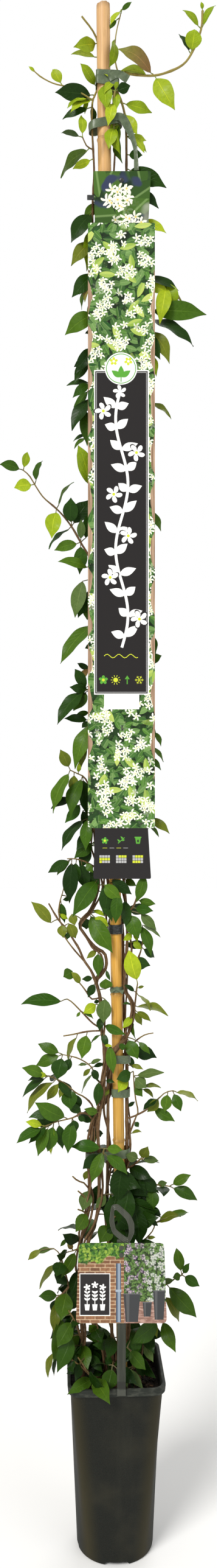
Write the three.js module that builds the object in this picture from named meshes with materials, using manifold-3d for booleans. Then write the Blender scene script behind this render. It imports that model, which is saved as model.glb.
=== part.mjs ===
// Star jasmine on a bamboo cane in a square plastic pot.
// Millimetres, +Z up, -Y towards the front. Origin: middle of the pot's base, on the floor.

import * as THREE from "three";
import Module from "manifold-3d";
import { mergeVertices } from "three/addons/utils/BufferGeometryUtils.js";

const wasm = await Module();
wasm.setup();
const { Manifold } = wasm;

// ---- driving dimensions -------------------------------------------------------------------

const GAP = 0.3; // clearance between pieces that touch

const POT = {
  height: 228,
  rimHalf: 62, // half the rim's outside width
  rimBand: 9.5, // height of the thickened rim
  wallHalf: 59, // half the wall's outside width under the rim
  cornerRadius: 15,
  baseRadius: 49,
  wall: 1.8,
  floor: 7,
  yaw: 2.5, // degrees
  sides: 32,
};
const CHANNEL = { start: 20, half: 16.8, halfTop: 13, height: 5, drainAt: 33, drainRadius: 4 };

const SOIL_TOP = 210;
const ROOT_END = 186; // how deep the stems' woody feet reach into the soil

const CANE = { foot: 40, top: 1998, footX: 12.1, topX: -16.5, footRadius: 7.6, topRadius: 7, sides: 10 };
const CANE_BORE = { radius: 3.2, depth: 26, sides: 8 };
const CANE_JOINTS = [330, 519, 708, 905, 1110, 1325, 1560, 1816];
const CANE_JOINT = { bulge: 0.8, half: 3 };

const LABEL = { depth: -15.8, thickness: 0.7, corner: 2, holeX: 8.7, holeZ: 1764, holeRadius: 2.4 };
const TAG = { depth: -65.1, thickness: 0.7, corner: 5, holeX: 8.4, holeZ: [379.4, 369.9], holeRadius: 2.2 };
const STRAP = { depth: -62.9, thickness: 1.4, middle: 7.8, half: 5.4, loopJoin: 390 };
const CLIP = { foot: 221.5, bridge: 1.5, leg: 1.2, reach: 12, clear: 1.5 };
const LOOP = { thickness: 2, rib: 3, corner: 3.5 };
const STUD = { radius: 1.8, headRadius: 2.9, head: 0.8 };

const LEAF = { thickness: 0.7, fullness: 0.4, widest: 25, short: 30, long: 56 };
const LEAST = { length: 17, face: 130 }; // smaller leaves are left out; face is length times seen width
const STALK = { half: 0.7, reach: 6 };
const STEM = { sides: 4 };
const SHOOT = { sides: 3, step: 30 };

// ---- lines of sight ---------------------------------------------------------------------------
// Places on the plant are given as they line up for a viewer who stands VIEWER.distance in front
// of the cane: x and z in the plane of the cane, then the real depth y. sighted() moves a place
// along its line of sight to that depth, so the front outline holds whatever the depth is.

const VIEWER = { x: -8.3, z: 981, distance: 1454 };

function sighted(x, z, depth) {
  const reach = (VIEWER.distance + depth) / VIEWER.distance;
  return new THREE.Vector3(VIEWER.x + (x - VIEWER.x) * reach, depth, VIEWER.z + (z - VIEWER.z) * reach);
}

// ---- the cane's line, and a stem that twines round it ------------------------------------------

function caneMiddle(z) {
  return CANE.footX + ((CANE.topX - CANE.footX) * (z - CANE.foot)) / (CANE.top - CANE.foot);
}

const TWINE = { radius: 11.6, step: 45 };

// places [x, z, depth] of a stem that winds round the cane, between two angles in degrees
function twine(fromAngle, toAngle, fromZ, toZ) {
  const count = Math.round((toZ - fromZ) / TWINE.step);
  return Array.from({ length: count + 1 }, (_, i) => {
    const z = fromZ + ((toZ - fromZ) * i) / count;
    const angle = THREE.MathUtils.degToRad(fromAngle + ((toAngle - fromAngle) * i) / count);
    return [caneMiddle(z) + TWINE.radius * Math.cos(angle), z, TWINE.radius * Math.sin(angle)];
  });
}

// ---- the leafy stems --------------------------------------------------------------------------
// ages of a leaf: D dark, G green, P pale, O olive, Y young, B browning; the value is how far
// the midrib arches, as a share of the leaf's length

const D = 0.09;
const G = 0.11;
const P = 0.08;
const O = 0.13;
const Y = 0.12;
const B = 0.18;

// Each leafy stem: its shoots as [radius at the foot, radius at the tip, points [x, z, depth]],
// the first being the main stem, and its leaves as [x, z of the leaf's base, x, z of its tip,
// width as seen, age, depth of the base, depth of the tip]; the depths may be left out.

const LEFT_SHOOTS = [
  [2.5, 1.6, [
    [-41, 196, -14], [-42, 262, -12], [-46, 330, -10], [-44, 385, -8], [-40, 405, -7], [-34, 430, -6],
    [-33, 480, -5], [-31, 515, -4], [-28, 545, -2], [-20, 560, 3], [-11, 575, 9], [-6, 592, 12.5],
    [-1, 615, 14], [1, 650, 13.5], [-1, 705, 13], [-3, 745, 13], [-5, 785, 12.5],
    ...twine(130, 510, 835, 1244),
  ]],
  [1.7, 0.7, [
    [-15.5, 1242, 5.8], [-26, 1262, 2], [-35, 1279, 1], [-43, 1292, 1],
    [-55, 1313, 0], [-68, 1330, -3], [-78, 1340, -5],
    [-93, 1353, -8], [-102, 1366, -10], [-112, 1382, -10], [-119, 1388, -11],
  ]],
  [1.3, 0.6, [
    [-10, 577, 9], [-14, 590, 4], [-23, 597, -2], [-30, 613, -6], [-38, 620, -8], [-50, 626, -10],
    [-68, 630, -12],
  ]],
  [1.3, 0.6, [
    [-26, 550, 0], [-30, 565, -4], [-40, 575, -7], [-50, 580, -10], [-62, 590, -12], [-75, 598, -14],
    [-87, 602, -16],
  ]],
  [1.4, 0.6, [
    [-28, 544, -2], [-36, 553, -8], [-44, 554, -12], [-52, 549, -15], [-62, 546, -17], [-75, 543, -19],
    [-91, 537, -20],
  ]],
  [2.0, 0.9, [[-46, 338, -10], [-54, 338, -16], [-62, 326, -20], [-70, 318, -22], [-76, 314, -24]]],
  [1.4, 0.6, [[-60, 330, -19], [-66, 352, -21], [-69, 364, -22], [-73, 373, -23], [-79, 378, -24]]],
  [1.5, 0.9, [[-42, 258, -12], [-46, 268, -26], [-52, 284, -35], [-60, 298, -38]]],
  [1.2, 0.8, [[-33, 455, -6], [-41, 464, -10], [-48, 466, -13], [-55, 472, -16]]],
  [1.1, 0.8, [[-33, 436, -6], [-41, 447, -12], [-48, 453, -16]]],
  [1.1, 0.9, [[-36, 423, -6], [-42, 427, -12], [-48, 429, -16]]],
  [1.0, 0.6, [[-44, 380, -8], [-53, 376, -14], [-60, 374, -18]]],
];
const LEFT_LEAVES = [
  [-117, 1388, -150, 1397, 13, G], [-118, 1388, -114, 1412, 8, Y], [-102, 1369, -131, 1366, 17, Y],
  [-102, 1368, -94, 1402, 6, G], [-78, 1339, -82, 1300, 21, Y], [-77, 1341, -53, 1374, 2.5, G],
  [-55, 1316, -57, 1353, 20, D], [-57, 1316, -86, 1287, 5, D], [-52, 1318, -32, 1350, 22, D],
  [-41, 1296, -44, 1325, 11, P], [-45, 1296, -79, 1284, 14, G], [-43, 1294, -46, 1255, 18, G],
  [-38, 1300, -33, 1335, 14, D], [-36, 1262, -74, 1271, 9, G],
  [-67, 631, -100, 644, 13, G], [-67, 630, -102, 616, 12, G], [-70, 628, -75, 598, 22, D],
  [-54, 626, -66, 607, 12, D], [-33, 617, -48, 616, 3, P], [-30, 617, -17, 624, 4, P],
  [-31, 615, -13, 618, 4, D], [-33, 614, -41, 602, 6, O], [-32, 609, -43, 580, 3, P],
  [-31, 613, -22, 596, 10, D],
  [-86, 603, -121, 613, 12, G], [-86, 602, -101, 606, 7, Y], [-86, 601, -120, 576, 8, D],
  [-83, 603, -64, 613, 6, P], [-88, 601, -113, 597, 5, D], [-76, 598, -114, 556, 8, O],
  [-74, 598, -57, 574, 9, D], [-72, 594, -88, 572, 12, O], [-69, 592, -72, 574, 8, O],
  [-59, 589, -57, 559, 21, G], [-52, 581, -46, 560, 12, D],
  [-64, 547, -104, 569, 21, G], [-78, 556, -112, 550, 12, D],
  [-91, 537, -116, 543, 9, Y], [-74, 546, -106, 541, 14, D], [-90, 538, -128, 515, 11, G],
  [-88, 538, -112, 515, 9, D], [-86, 541, -100, 499, 13, G], [-78, 543, -87, 505, 19, G],
  [-75, 536, -83, 502, 9, Y], [-70, 542, -68, 509, 14, D], [-58, 547, -61, 504, 19, G],
  [-52, 548, -50, 530, 12, D], [-50, 549, -38, 544, 8, D], [-44, 556, -62, 566, 12, D],
  [-36, 484, -40, 468, 9, O], [-34, 458, -42, 428, 18, P, -8, -14], [-35, 430, -51, 400, 18, G, -10, -26],
  [-46, 385, -68, 398, 16, D, -14, -30], [-62, 391, -71, 381, 5, G], [-54, 378, -62, 388, 7, B],
  [-79, 378, -103, 373, 4, P], [-96, 376, -113, 364, 7, O], [-69, 363, -98, 326, 4.5, O],
  [-49, 373, -70, 341, 15, G, -16, -34], [-57, 332, -68, 337, 5, O], [-72, 319, -99, 317, 14, G],
  [-49, 358, -57, 318, 17, D, -14, -24], [-75, 316, -83, 298, 8, D], [-62, 324, -70, 286, 24, G, -26, -40],
  [-76, 308, -80, 270, 14, O, -28, -38], [-42, 290, -75, 251, 21, G, -40, -54],
  [-70, 288, -80, 232, 15, G, -32, -44], [-56, 264, -75, 220, 21, G, -38, -56],
  [-79, 244, -87, 211, 6, O, -38, -46], [-76, 236, -79, 214, 4, D, -36, -40],
  [-60, 250, -52, 222, 14, D, -30, -36], [-42, 256, -35, 222, 19, G, -26, -42],
  [-50, 300, -56, 276, 18, D, -34, -44],
];

const MIDDLE_SHOOTS = [
  [2.4, 1.2, [
    [-12, 196, -8], [-13, 240, -9], [-20, 258, -9], [-27, 276, -9], [-36, 330, -12], [-35, 385, -14],
    [-25, 414, -9], [-21, 440, -4], [-21, 500, -4], [-22, 535, -6], [-19, 557, -8], [-15, 580, -7],
    [-13.5, 607, -6], [-14, 640, -1], [-17, 660, 0], [-18, 690, 0], [-21, 712, -1], [-24, 726, -1],
    [-18, 733, -2], [-12, 742, -4], [-11, 752, -4], [-14, 762, -4], [-23, 767, -4], [-31, 775, -4],
    [-40, 787, -4], [-46, 797, -4], [-42, 806, -3], [-34, 814, -2], [-29, 823, 0], [-24, 836, 2],
    [-21, 856, 3], [-24, 890, 4], [-28, 950, 7], [-23, 1010, 4], [-26, 1070, 0], [-29, 1130, 4],
    [-25, 1190, 8], [-27, 1250, 9], [-30, 1310, 4], [-26, 1370, 0], [-24, 1430, 4], [-28, 1490, 7],
    [-27, 1550, 3], [-24, 1610, 1], [-28, 1670, 5], [-29, 1730, 3], [-27, 1775, -1], [-28, 1800, -2],
    [-30, 1845, -3], [-28, 1885, -3], [-27, 1920, -2], [-30, 1958, -4], [-43, 1977, -8],
  ]],
  [1.4, 0.8, [[-13, 214, -8], [-22, 211, -26], [-31, 213, -38], [-45, 226, -42], [-62, 238, -44]]],
  [1.1, 0.8, [[-37, 220, -40], [-43, 230, -40], [-48, 237, -42]]],
  [1.3, 0.9, [[-21, 478, -4], [-18.5, 486, -13], [-16, 497, -17.5], [-14, 508, -18]]],
  [1.2, 0.8, [[-17, 661, 0], [-35, 660, -4], [-55, 656, -8], [-67, 654, -10]]],
  [1.2, 0.8, [[-18, 664, 0], [-28, 670, -3], [-40, 682, -6], [-57, 699, -10], [-62, 702, -11]]],
  [1.1, 0.8, [[-19, 704, 0], [-30, 702, -4], [-38, 713, -6], [-50, 727, -9], [-61, 733, -10]]],
  [1.9, 1.0, [
    [-20, 708, -1], [-30, 737, -8], [-40, 752, -9], [-47, 768, -10], [-54, 779, -10], [-62, 792, -11],
    [-72, 803, -12], [-78, 812, -13], [-86, 826, -15],
  ]],
  [1.1, 0.8, [[-38, 749, -9], [-53, 766, -14], [-60, 775, -15], [-67, 785, -16]]],
  [1.0, 0.6, [[-71, 802, -12], [-73, 815, -10], [-71, 830, -8], [-68, 840, -7], [-66, 848, -6]]],
  [1.2, 0.7, [[-24, 872, 3], [-38, 880, -6], [-52, 884, -12], [-62, 884, -16]]],
  [1.2, 0.7, [[-28, 965, 6], [-40, 990, 0], [-50, 995, -4], [-58, 999, -8]]],
  [1.1, 0.7, [[-28, 1804, -2], [-36, 1808, -6], [-42, 1820, -9]]],
  [1.2, 0.7, [[-29, 1868, -3], [-45, 1878, -6], [-60, 1885, -10], [-80, 1890, -14], [-97, 1899, -17],
    [-107, 1908, -19]]],
];
const MIDDLE_LEAVES = [
  [-31, 211, -62, 190, 14, G, -44, -70], [-27, 215, -6, 178, 21, G, -44, -73],
  [-45, 222, -63, 216, 7, D, -40, -48], [-31, 240, -16, 219, 13, D, -20, -34],
  [-18, 240, -2, 222, 10, D, -16, -30], [-22, 268, -34, 280, 12, G, -12, -20],
  [-15, 506, -57, 511, 13, G, -18, -22], [-15, 506, -31, 465, 14, G, -18, -26],
  [-13, 505, 16, 476, 13, G, -18, -24], [-13, 508, 10, 507, 12, G, -19, -22],
  [-20, 528, -34, 514, 8, D], [-20, 466, -26, 436, 16, D, 2, 8], [-12, 447, -25, 431, 12, P, -6, -10],
  [-21, 594, -24, 564, 13, D, -12, -15], [-18, 557, -40, 560, 11, G, -11, -16],
  [-13, 597, 0, 594, 5, D, -9, -12], [-14, 661, -9, 640, 9, D, -5, -10],
  [-35, 659, -43, 626, 19, G, -6, -14], [-46, 657, -60, 621, 5, O], [-20, 657, -31, 645, 2.5, G],
  [-70, 699, -122, 698, 14, G, -13, -16], [-43, 684, -28, 677, 4, G], [-44, 684, -50, 679, 4, G],
  [-25, 695, -41, 684, 14, Y, -4, -10], [-27, 706, -23, 696, 7, D], [-13, 702, -15, 671, 20, P, -6, -12],
  [-23, 682, -20, 661, 10, D, -4, -8], [-13, 669, 14, 657, 12, G, -13, -19],
  [-30, 722, -35, 705, 11, D, -7, -10], [-12, 715, -12, 729, 17, G, -6, -9],
  [-9, 738, -6, 726, 5, D, -10, -11], [-30, 727, -43, 728, 8, D, -8, -12],
  [-41, 722, -57, 738, 9, O, -7, -12],
  [-55, 738, -67, 731, 16, G, -10, -13], [-19, 766, -22, 732, 14, G, -8, -13],
  [-24, 764, -37, 755, 8, O, -6, -12], [-31, 812, -3, 763, 24, G, -9, -17],
  [-27, 815, -12, 809, 5, Y, -6, -12], [-26, 808, -8, 797, 12, Y, -7, -14],
  [-83, 801, -109, 829, 14, O, -15, -20], [-66, 814, -61, 806, 6, Y], [-56, 812, -52, 798, 12, O, -12, -14],
  [-71, 799, -67, 782, 13, O, -12, -18], [-70, 830, -65, 802, 11, D, -8, -6],
  [-60, 800, -51, 781, 15, O, -13, -9], [-68, 787, -58, 783, 9, D], [-43, 812, -37, 793, 15, D, -1, 3],
  [-58, 833, -68, 831, 6, D, -3, -7], [-22, 857, -55, 810, 24, G, -6, -24],
  [-58, 885, -87, 866, 12, D, -14, -22], [-58, 884, -75, 864, 7, G, -13, -12],
  [-59, 880, -59, 828, 18, D, -13, -18], [-50, 884, -54, 850, 18, D, -8, -4],
  [-44, 882, -38, 846, 18, D, -4, 3], [-40, 884, -28, 866, 9, G, -7, -12],
  [-31, 872, -31, 838, 18, D, 5, 8],
  [-32, 918, -50, 896, 16, D, 2, -8], [-30, 905, -53, 886, 17, G, 0, -12],
  [-34, 900, -46, 872, 16, D, 5, 0],
  [-41, 934, -69, 895, 9, D, 0, -14], [-36, 934, -38, 896, 16, G, -2, -10],
  [-42, 946, -33, 922, 14, D, 4, 8],
  [-46, 954, -65, 931, 14, G, 0, -12], [-52, 962, -83, 949, 8, D, -2, -12],
  [-44, 991, -57, 941, 10, G, -5, -12],
  [-41, 990, -36, 940, 15, D, 0, 2], [-57, 998, -80, 945, 13, G, -8, -20],
  [-55, 998, -54, 970, 14, O, -7, -2],
  [-58, 1000, -71, 1026, 15, O, -8, -14], [-43, 996, -47, 1009, 6, Y, -3, -8],
  [-42, 1040, -44, 1003, 15, O, 3, 6], [-35, 1056, -52, 1004, 17, G, 0, -8],
  [-34, 1062, -43, 1054, 8, D], [-36, 1064, -66, 1066, 9, D], [-34, 1074, -52, 1069, 8, G, 6, 4],
  [-38, 1100, -54, 1076, 19, G, 4, -4], [-42, 1101, -75, 1060, 10, D, 0, -10],
  [-36, 1104, -59, 1107, 13, D, 2, -6], [-38, 1106, -52, 1132, 14, D, 4, 0], [-35, 1130, -47, 1115, 9, B],
  [-34, 1129, -49, 1138, 8, D], [-28, 1162, -39, 1157, 7, D], [-31, 1191, -71, 1137, 14, G, 2, -14],
  [-34, 1212, -36, 1194, 12, G, 9, 9], [-36, 1230, -48, 1198, 19, D, 6, 2],
  [-42, 1244, -52, 1197, 18, P, 0, -8],
  [-34, 1370, -48, 1422, 18, Y, 0, -6], [-38, 1430, -53, 1417, 4, G], [-38, 1434, -54, 1426, 4, D],
  [-39, 1465, -36, 1421, 19, G, 4, 2], [-34, 1480, -56, 1440, 13, D, 3, -8],
  [-35, 1491, -53, 1457, 9, G, 8, 4],
  [-34, 1500, -55, 1483, 10, G, 2, -8], [-33, 1502, -63, 1498, 5, D], [-36, 1530, -53, 1503, 15, D, 8, 0],
  [-31, 1549, -51, 1515, 15, D, 1, -8], [-37, 1532, -53, 1522, 7, D], [-30, 1572, -39, 1566, 6, D],
  [-25, 1593, -65, 1564, 22, G, 1, -14], [-30, 1606, -36, 1590, 9, Y], [-33, 1627, -39, 1606, 5, B],
  [-34, 1629, -43, 1598, 4, G], [-40, 1634, -46, 1616, 4, D], [-28, 1647, -56, 1613, 20, D, 0, -10],
  [-28, 1705, -37, 1647, 20, Y, 6, 2], [-33, 1685, -57, 1654, 14, O, 2, -10],
  [-24, 1723, -57, 1684, 14, D, 0, -14],
  [-22, 1733, -41, 1716, 14, G, 6, 2], [-32, 1806, -70, 1770, 9, G, -4, -16], [-30, 1790, -55, 1780, 10, Y],
  [-42, 1820, -44, 1849, 8, Y], [-42, 1820, -70, 1827, 5, D], [-34, 1870, -39, 1851, 5, Y],
  [-36, 1857, -68, 1845, 8, D], [-28, 1871, -62, 1859, 12, Y, -4, -16],
  [-28, 1881, -78, 1880, 22, D, -5, -12],
  [-70, 1885, -81, 1909, 14, G], [-105, 1905, -112, 1912, 4, Y], [-29, 1891, -45, 1918, 13, Y],
  [-27, 1930, -57, 1929, 6, Y], [-28, 1945, -54, 1938, 18, Y, -6, -18],
];

const CENTRE_SHOOTS = [
  [2.2, 1.2, [
    [-3, 196, -4], [-3, 235, -5], [-5, 300, -4], [-9, 400, 0], [-10, 440, 2], [-9.5, 480, 2], [-9, 520, 0],
    [-9, 560, -3], [-8.7, 600, 1], [-8.8, 620, -4], [-4, 631, -10.5], [4, 640, -11.8], [12, 648, -9],
    [18, 658, -4], [23, 675, 0], [25, 690, 0], [21, 702, -1], [14.8, 711, -1], [13, 724, -1],
    [12.5, 742, -1], [15, 760, -1], [16, 790, 0], [15, 815, 3], [13, 840, 5.5],
    ...twine(25, 720, 865, 1770), [0, 1805, -3], [-1.5, 1841, -5.5], [-2, 1853, -6.5], [-2, 1866, -9.5],
    [0, 1880, -10.5],
  ]],
  [1.3, 0.8, [[-3, 224, -5], [-2, 232, -18], [-3, 227, -36]]],
  [1.3, 0.8, [[-9, 405, 0], [-4, 412, -14], [0, 420, -22]]],
  [1.3, 0.8, [[25, 688, 0], [27, 703, -4], [28, 713, -6], [29.5, 722, -7]]],
  [1.2, 0.8, [[15, 752, -1], [24, 747, 2], [31, 757, 0], [35, 770, -3], [36, 781, -4]]],
  [1.3, 0.8, [[15.5, 806, 1], [20, 817, -4], [24.5, 823, -7], [29, 836, -8], [34, 854, -8]]],
];
const CENTRE_LEAVES = [
  [-4, 225, -10, 193, 21, G, -38, -52], [2, 258, -29, 254, 12, G, -22, -32],
  [-4, 412, -20, 386, 22, G, -16, -30], [2, 422, 22, 405, 18, D, -22, -26],
  [-8, 452, 14, 428, 19, G, -6, -24], [-4, 474, 34, 459, 25, D, -10, -18],
  [-6, 462, 24, 436, 22, D, -4, -12],
  [-12, 450, -14, 424, 14, D], [-13, 642, -3, 641, 4, Y, -12, -14], [-7, 641, -2, 606, 13, G, -12, -14],
  [-2, 642, 15, 642, 9, G, -15, -17], [-8, 588, -13, 576, 7, O, -4, -8],
  [18, 651, 30, 625, 18, G, -7, -14], [31, 646, 46, 631, 8, G, -8, -14],
  [28, 691, 69, 682, 6, O, -3, -12], [28, 689, 47, 673, 7, O, -3, -6], [27, 686, 35, 669, 9, O, -2, 3],
  [25, 678, 27, 651, 4, G], [20, 684, 10, 664, 10, Y, -8, -12], [22, 693, 10, 696, 2.5, G, -8, -10],
  [30, 719, 18, 768, 22, Y, -8, -12], [29, 719, 38, 719, 4, O], [25, 713, 12, 721, 5, D, -8, -11],
  [28, 713, 46, 687, 5, O], [24, 776, 35, 767, 9, Y, -4, -8], [24, 788, 30, 776, 5, Y, -5, -8],
  [22, 787, 11, 778, 9, Y, -5, -9], [18, 797, 17, 789, 4, Y], [34, 796, 47, 760, 12, G, -8, -14],
  [36, 798, 59, 783, 5, P, -8, -16], [34, 812, 54, 793, 13, P, -9, -16], [18, 815, 31, 781, 21, G, -8, -14],
  [25, 821, 50, 817, 13, G, -9, -16], [30, 827, 53, 826, 11, G, -8, -12], [12, 832, 14, 796, 15, D, -2, -6],
  [38, 862, 28, 828, 15, G, -9, -13], [10, 858, 28, 849, 10, G, -12, -14],
  [-4, 856, 22, 838, 15, D, -11, -14],
  [-14, 850, 8, 831, 17, G, -11, -16], [4, 840, 1, 800, 16, G, -14, -17],
  [-8, 852, -14, 812, 20, D, -10, -13],
  [-14, 838, -4, 803, 15, D, -9, -12.5],
  [-17, 1884, -8, 1855, 10, Y, -10, -14], [1, 1880, 4, 1893, 4, Y], [-6, 1850, 1, 1806, 16, Y, -12, -16],
  [6, 1836, 10, 1787, 5, G, -6, -12], [0, 1880, 20, 1887, 14, D, -6, -12],
  [-1, 1946, -8, 1910, 5, Y, -9, -13], [2, 1972, -8, 1960, 5, G, -4, -2], [9, 1985, 22, 1996, 6, G],
];

const RIGHT_SHOOTS = [
  [2.4, 1.4, [
    [33, 194, -6], [31, 215, -6], [26, 235, -6], [19, 262, -5], [18, 300, 3], [15, 350, 9], [12, 420, 10],
    [12.5, 470, 9], [14.8, 497, 5.5], [15.6, 520, 2.5], [15.4, 560, 2], [15.6, 600, 3], [15.4, 628, 3.4],
    [14, 655, 8], [11, 690, 10.5], [10.5, 730, 10], [10.5, 770, 10], [8.5, 810, 11], [3, 850, 13],
    [12, 900, 11], [22, 950, 7], [25, 1010, 3], [20, 1070, 4], [24, 1130, 8], [27, 1190, 4], [23, 1250, 0],
    [20, 1310, 4], [24, 1370, 8], [26, 1430, 4], [22, 1490, 0], [20, 1550, 4], [23, 1610, 6], [22, 1670, 2],
    [17, 1730, 2], [15, 1775, 1], [15, 1800, 0], [13.5, 1845, -1], [8, 1868, -3], [1, 1884, -4.5],
    [0.3, 1897, -4], [4, 1905, -5], [12, 1904, -5], [20, 1902, -4],
    [50, 1900, 0], [70, 1905, 4], [88, 1914, 6], [98, 1926, 7],
    [112, 1960, 8], [114, 1984, 8],
  ]],
  [1.4, 0.8, [
    [31, 218, -6], [35, 245, -4], [37, 262, -2], [43, 300, -4], [38, 350, -8], [33, 384, -10],
    [42, 393, -12], [50, 403, -13], [52, 411, -14],
  ]],
  [1.3, 0.7, [[13, 464, 9], [25, 463, 5], [38, 461, 0], [50, 461, -4], [66, 460, -8], [71, 459, -9]]],
  [1.3, 0.6, [
    [15.4, 547, 2], [25, 550, -1], [42, 559, -5], [50, 566, -8], [58, 574, -10], [66, 581, -11],
    [75, 583, -12],
  ]],
  [1.2, 0.7, [
    [15.6, 517, 3], [22, 535, 0], [27, 548, -2], [30, 555, -2], [27, 572, -1], [25, 590, 0], [24, 608, 0],
  ]],
  [1.1, 0.7, [[15.6, 632, 4], [22, 642, 2], [30, 650, -3], [40, 656, -7], [50, 658, -9]]],
  [1.3, 0.8, [[13.5, 484, 8], [20, 484, 2], [26, 488, -3], [33, 494, -7], [38, 496, -8]]],
  [1.4, 0.9, [[26, 236, -6], [22, 244, -22], [16, 250, -34]]],
  [1.3, 0.8, [[42, 296, -4], [52, 312, -10], [62, 328, -14], [76, 338, -18], [87, 344, -20]]],
  [1.2, 0.8, [[43, 300, -4], [52, 294, -8], [60, 288, -10]]],
  [1.0, 0.6, [[4, 1905, -5], [1, 1916, -6], [1, 1950, -6], [9, 1986, -6]]],
];
const RIGHT_LEAVES = [
  [15, 249, 40, 221, 17, G, -32, -48], [37, 257, 50, 231, 9, P, -6, -24],
  [54, 282, 20, 256, 22, G, -20, -44],
  [28, 272, 28, 240, 15, G, -28, -44], [50, 286, 55, 263, 9, O, -12, -24],
  [15, 222, 37, 197, 10, P, -24, -42],
  [14, 216, 16, 198, 6, P, -28, -44], [18, 219, 24, 197, 8, D, -22, -38],
  [22, 228, 38, 212, 11, D, -12, -28],
  [60, 288, 79, 245, 18, G, -14, -34], [66, 315, 83, 286, 9, O, -18, -10],
  [64, 333, 106, 290, 21, G, -16, -26],
  [88, 341, 110, 330, 14, G, -20, -28], [87, 347, 75, 341, 10, G, -20, -26],
  [88, 344, 80, 381, 13, G, -20, -14],
  [88, 344, 97, 360, 7, G, -20, -26], [62, 336, 77, 338, 8, P, -14, -24],
  [30, 385, 52, 386, 8, D, -11, -20], [41, 392, 53, 393, 3.5, O], [26, 411, 34, 390, 5, G, 0, -4],
  [51, 409, 86, 422, 8, O, -14, -18], [68, 418, 96, 426, 5, G, -18, -14], [46, 416, 56, 408, 7, D],
  [46, 431, 60, 422, 10, D, -4, -8], [20, 414, 57, 419, 23, D, -2, -20], [34, 438, 60, 420, 12, D, 2, -2],
  [50, 460, 49, 428, 17, G, -5, -12], [51, 463, 68, 464, 9, P, -5, -8], [70, 462, 99, 475, 12, G, -9, -14],
  [70, 459, 107, 441, 14, G, -9, -16], [14, 460, 42, 447, 18, D, 4, -6], [18, 486, 40, 463, 9, P, 0, -8],
  [34, 496, 14, 501, 14, P, -9, -10], [34, 494, 43, 511, 14, O, -8, -12], [31, 494, 57, 492, 8, P, -6, -3],
  [28, 546, 31, 536, 7, D], [20, 529, 35, 530, 3, O], [46, 560, 78, 545, 14, G, -7, -14],
  [58, 574, 42, 556, 13, O, -10, -16], [70, 583, 65, 556, 15, G, -11, -16],
  [74, 579, 86, 557, 14, G, -12, -18],
  [75, 583, 108, 571, 4, O], [15, 562, 26, 569, 5, D], [36, 588, 60, 588, 3.5, O], [36, 585, 50, 574, 4, O],
  [22, 588, 36, 576, 12, G, -2, -8], [24, 607, 2, 598, 16, D, -11, -15], [19, 601, 4, 582, 16, Y, -12, -16],
  [21, 604, 41, 587, 17, P, -3, -10], [30, 601, 64, 607, 8, P, -1, -10], [22, 616, 37, 611, 6, O, 0, -5],
  [20, 630, 24, 612, 6, D],
  [36, 1711, 67, 1696, 10, Y, 2, -4], [28, 1753, 57, 1728, 10, D, 2, -8], [40, 1637, 83, 1622, 8, D, 3, -6],
  [44, 1630, 70, 1619, 15, Y, 1, -6], [66, 1626, 58, 1580, 20, Y, -4, -10],
  [62, 1629, 80, 1597, 24, Y, -1, -3],
  [62, 1618, 88, 1607, 6, B, 5, 3], [50, 1594, 119, 1591, 22, G, 2, -6], [48, 1584, 102, 1552, 9, D, 6, -6],
  [46, 1568, 71, 1529, 14, O, 4, -2], [42, 1566, 59, 1532, 17, D, 0, -6], [44, 1538, 54, 1511, 9, Y, 4, 0],
  [46, 1475, 73, 1456, 5, O], [42, 1336, 60, 1310, 8, G, 4, -3], [44, 1174, 53, 1150, 15, G, 6, 2],
  [44, 1140, 61, 1148, 13, G, 5, 0], [44, 1060, 52, 1038, 11, G, 4, 0], [52, 1048, 60, 1031, 6, G, 2, -2],
  [46, 1029, 63, 1011, 4, G], [44, 1016, 60, 1000, 7, G, 3, -2], [46, 936, 71, 918, 10, O, 4, -4],
  [45, 927, 57, 912, 4, G], [17, 1782, 67, 1757, 20, D, -2, -14], [16, 1795, 36, 1797, 12, D],
  [16, 1823, 41, 1816, 8, Y], [16, 1821, 41, 1801, 8, Y],
  [14, 1850, 29, 1825, 9, Y], [10, 1862, 48, 1852, 12, Y],
  [50, 1900, 3, 1935, 14, B, -2, -14], [48, 1901, 8, 1908, 8, Y, -3, -12],
  [53, 1899, 78, 1856, 25, Y, -2, -12],
  [98, 1927, 103, 1962, 22, Y, 5, 0], [98, 1927, 83, 1954, 5, D, 7, 2], [111, 1961, 88, 1986, 7, D, 8, 4],
  [112, 1962, 131, 1993, 6, D, 8, 4], [113, 1982, 112, 1996, 4, Y, 8, 5],
];

const BACK_LEAVES = {
  heights: [[232, 420], [430, 480], [800, 1760]],
  every: 4, // stations of the main stem
  shortest: 40,
  longest: 56,
  drop: 0.4,
  left: -32, // kept behind the label, as seen from the front
  right: 49,
};

const HAND = { x: [1.6, 13], z: [428.8, 438.4] };

// ---- solids -----------------------------------------------------------------------------------

function manifoldOf(positions, corners) {
  const vertProperties = new Float32Array(positions);
  const triVerts = new Uint32Array(corners);
  return new Manifold(new wasm.Mesh({ numProp: 3, vertProperties, triVerts }));
}

function solidFrom(points, triangles) {
  let volume = 0;
  for (const [a, b, c] of triangles) {
    volume += points[a].dot(new THREE.Vector3().crossVectors(points[b], points[c]));
  }
  const outward = volume > 0 ? triangles : triangles.map(([a, b, c]) => [a, c, b]);
  return manifoldOf(points.flatMap((point) => point.toArray()), outward.flat());
}

function solidOf(geometry) {
  const bare = geometry.clone();
  bare.deleteAttribute("normal");
  bare.deleteAttribute("uv");
  const merged = mergeVertices(bare, 1e-4);
  return manifoldOf(merged.attributes.position.array, merged.index.array);
}

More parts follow.
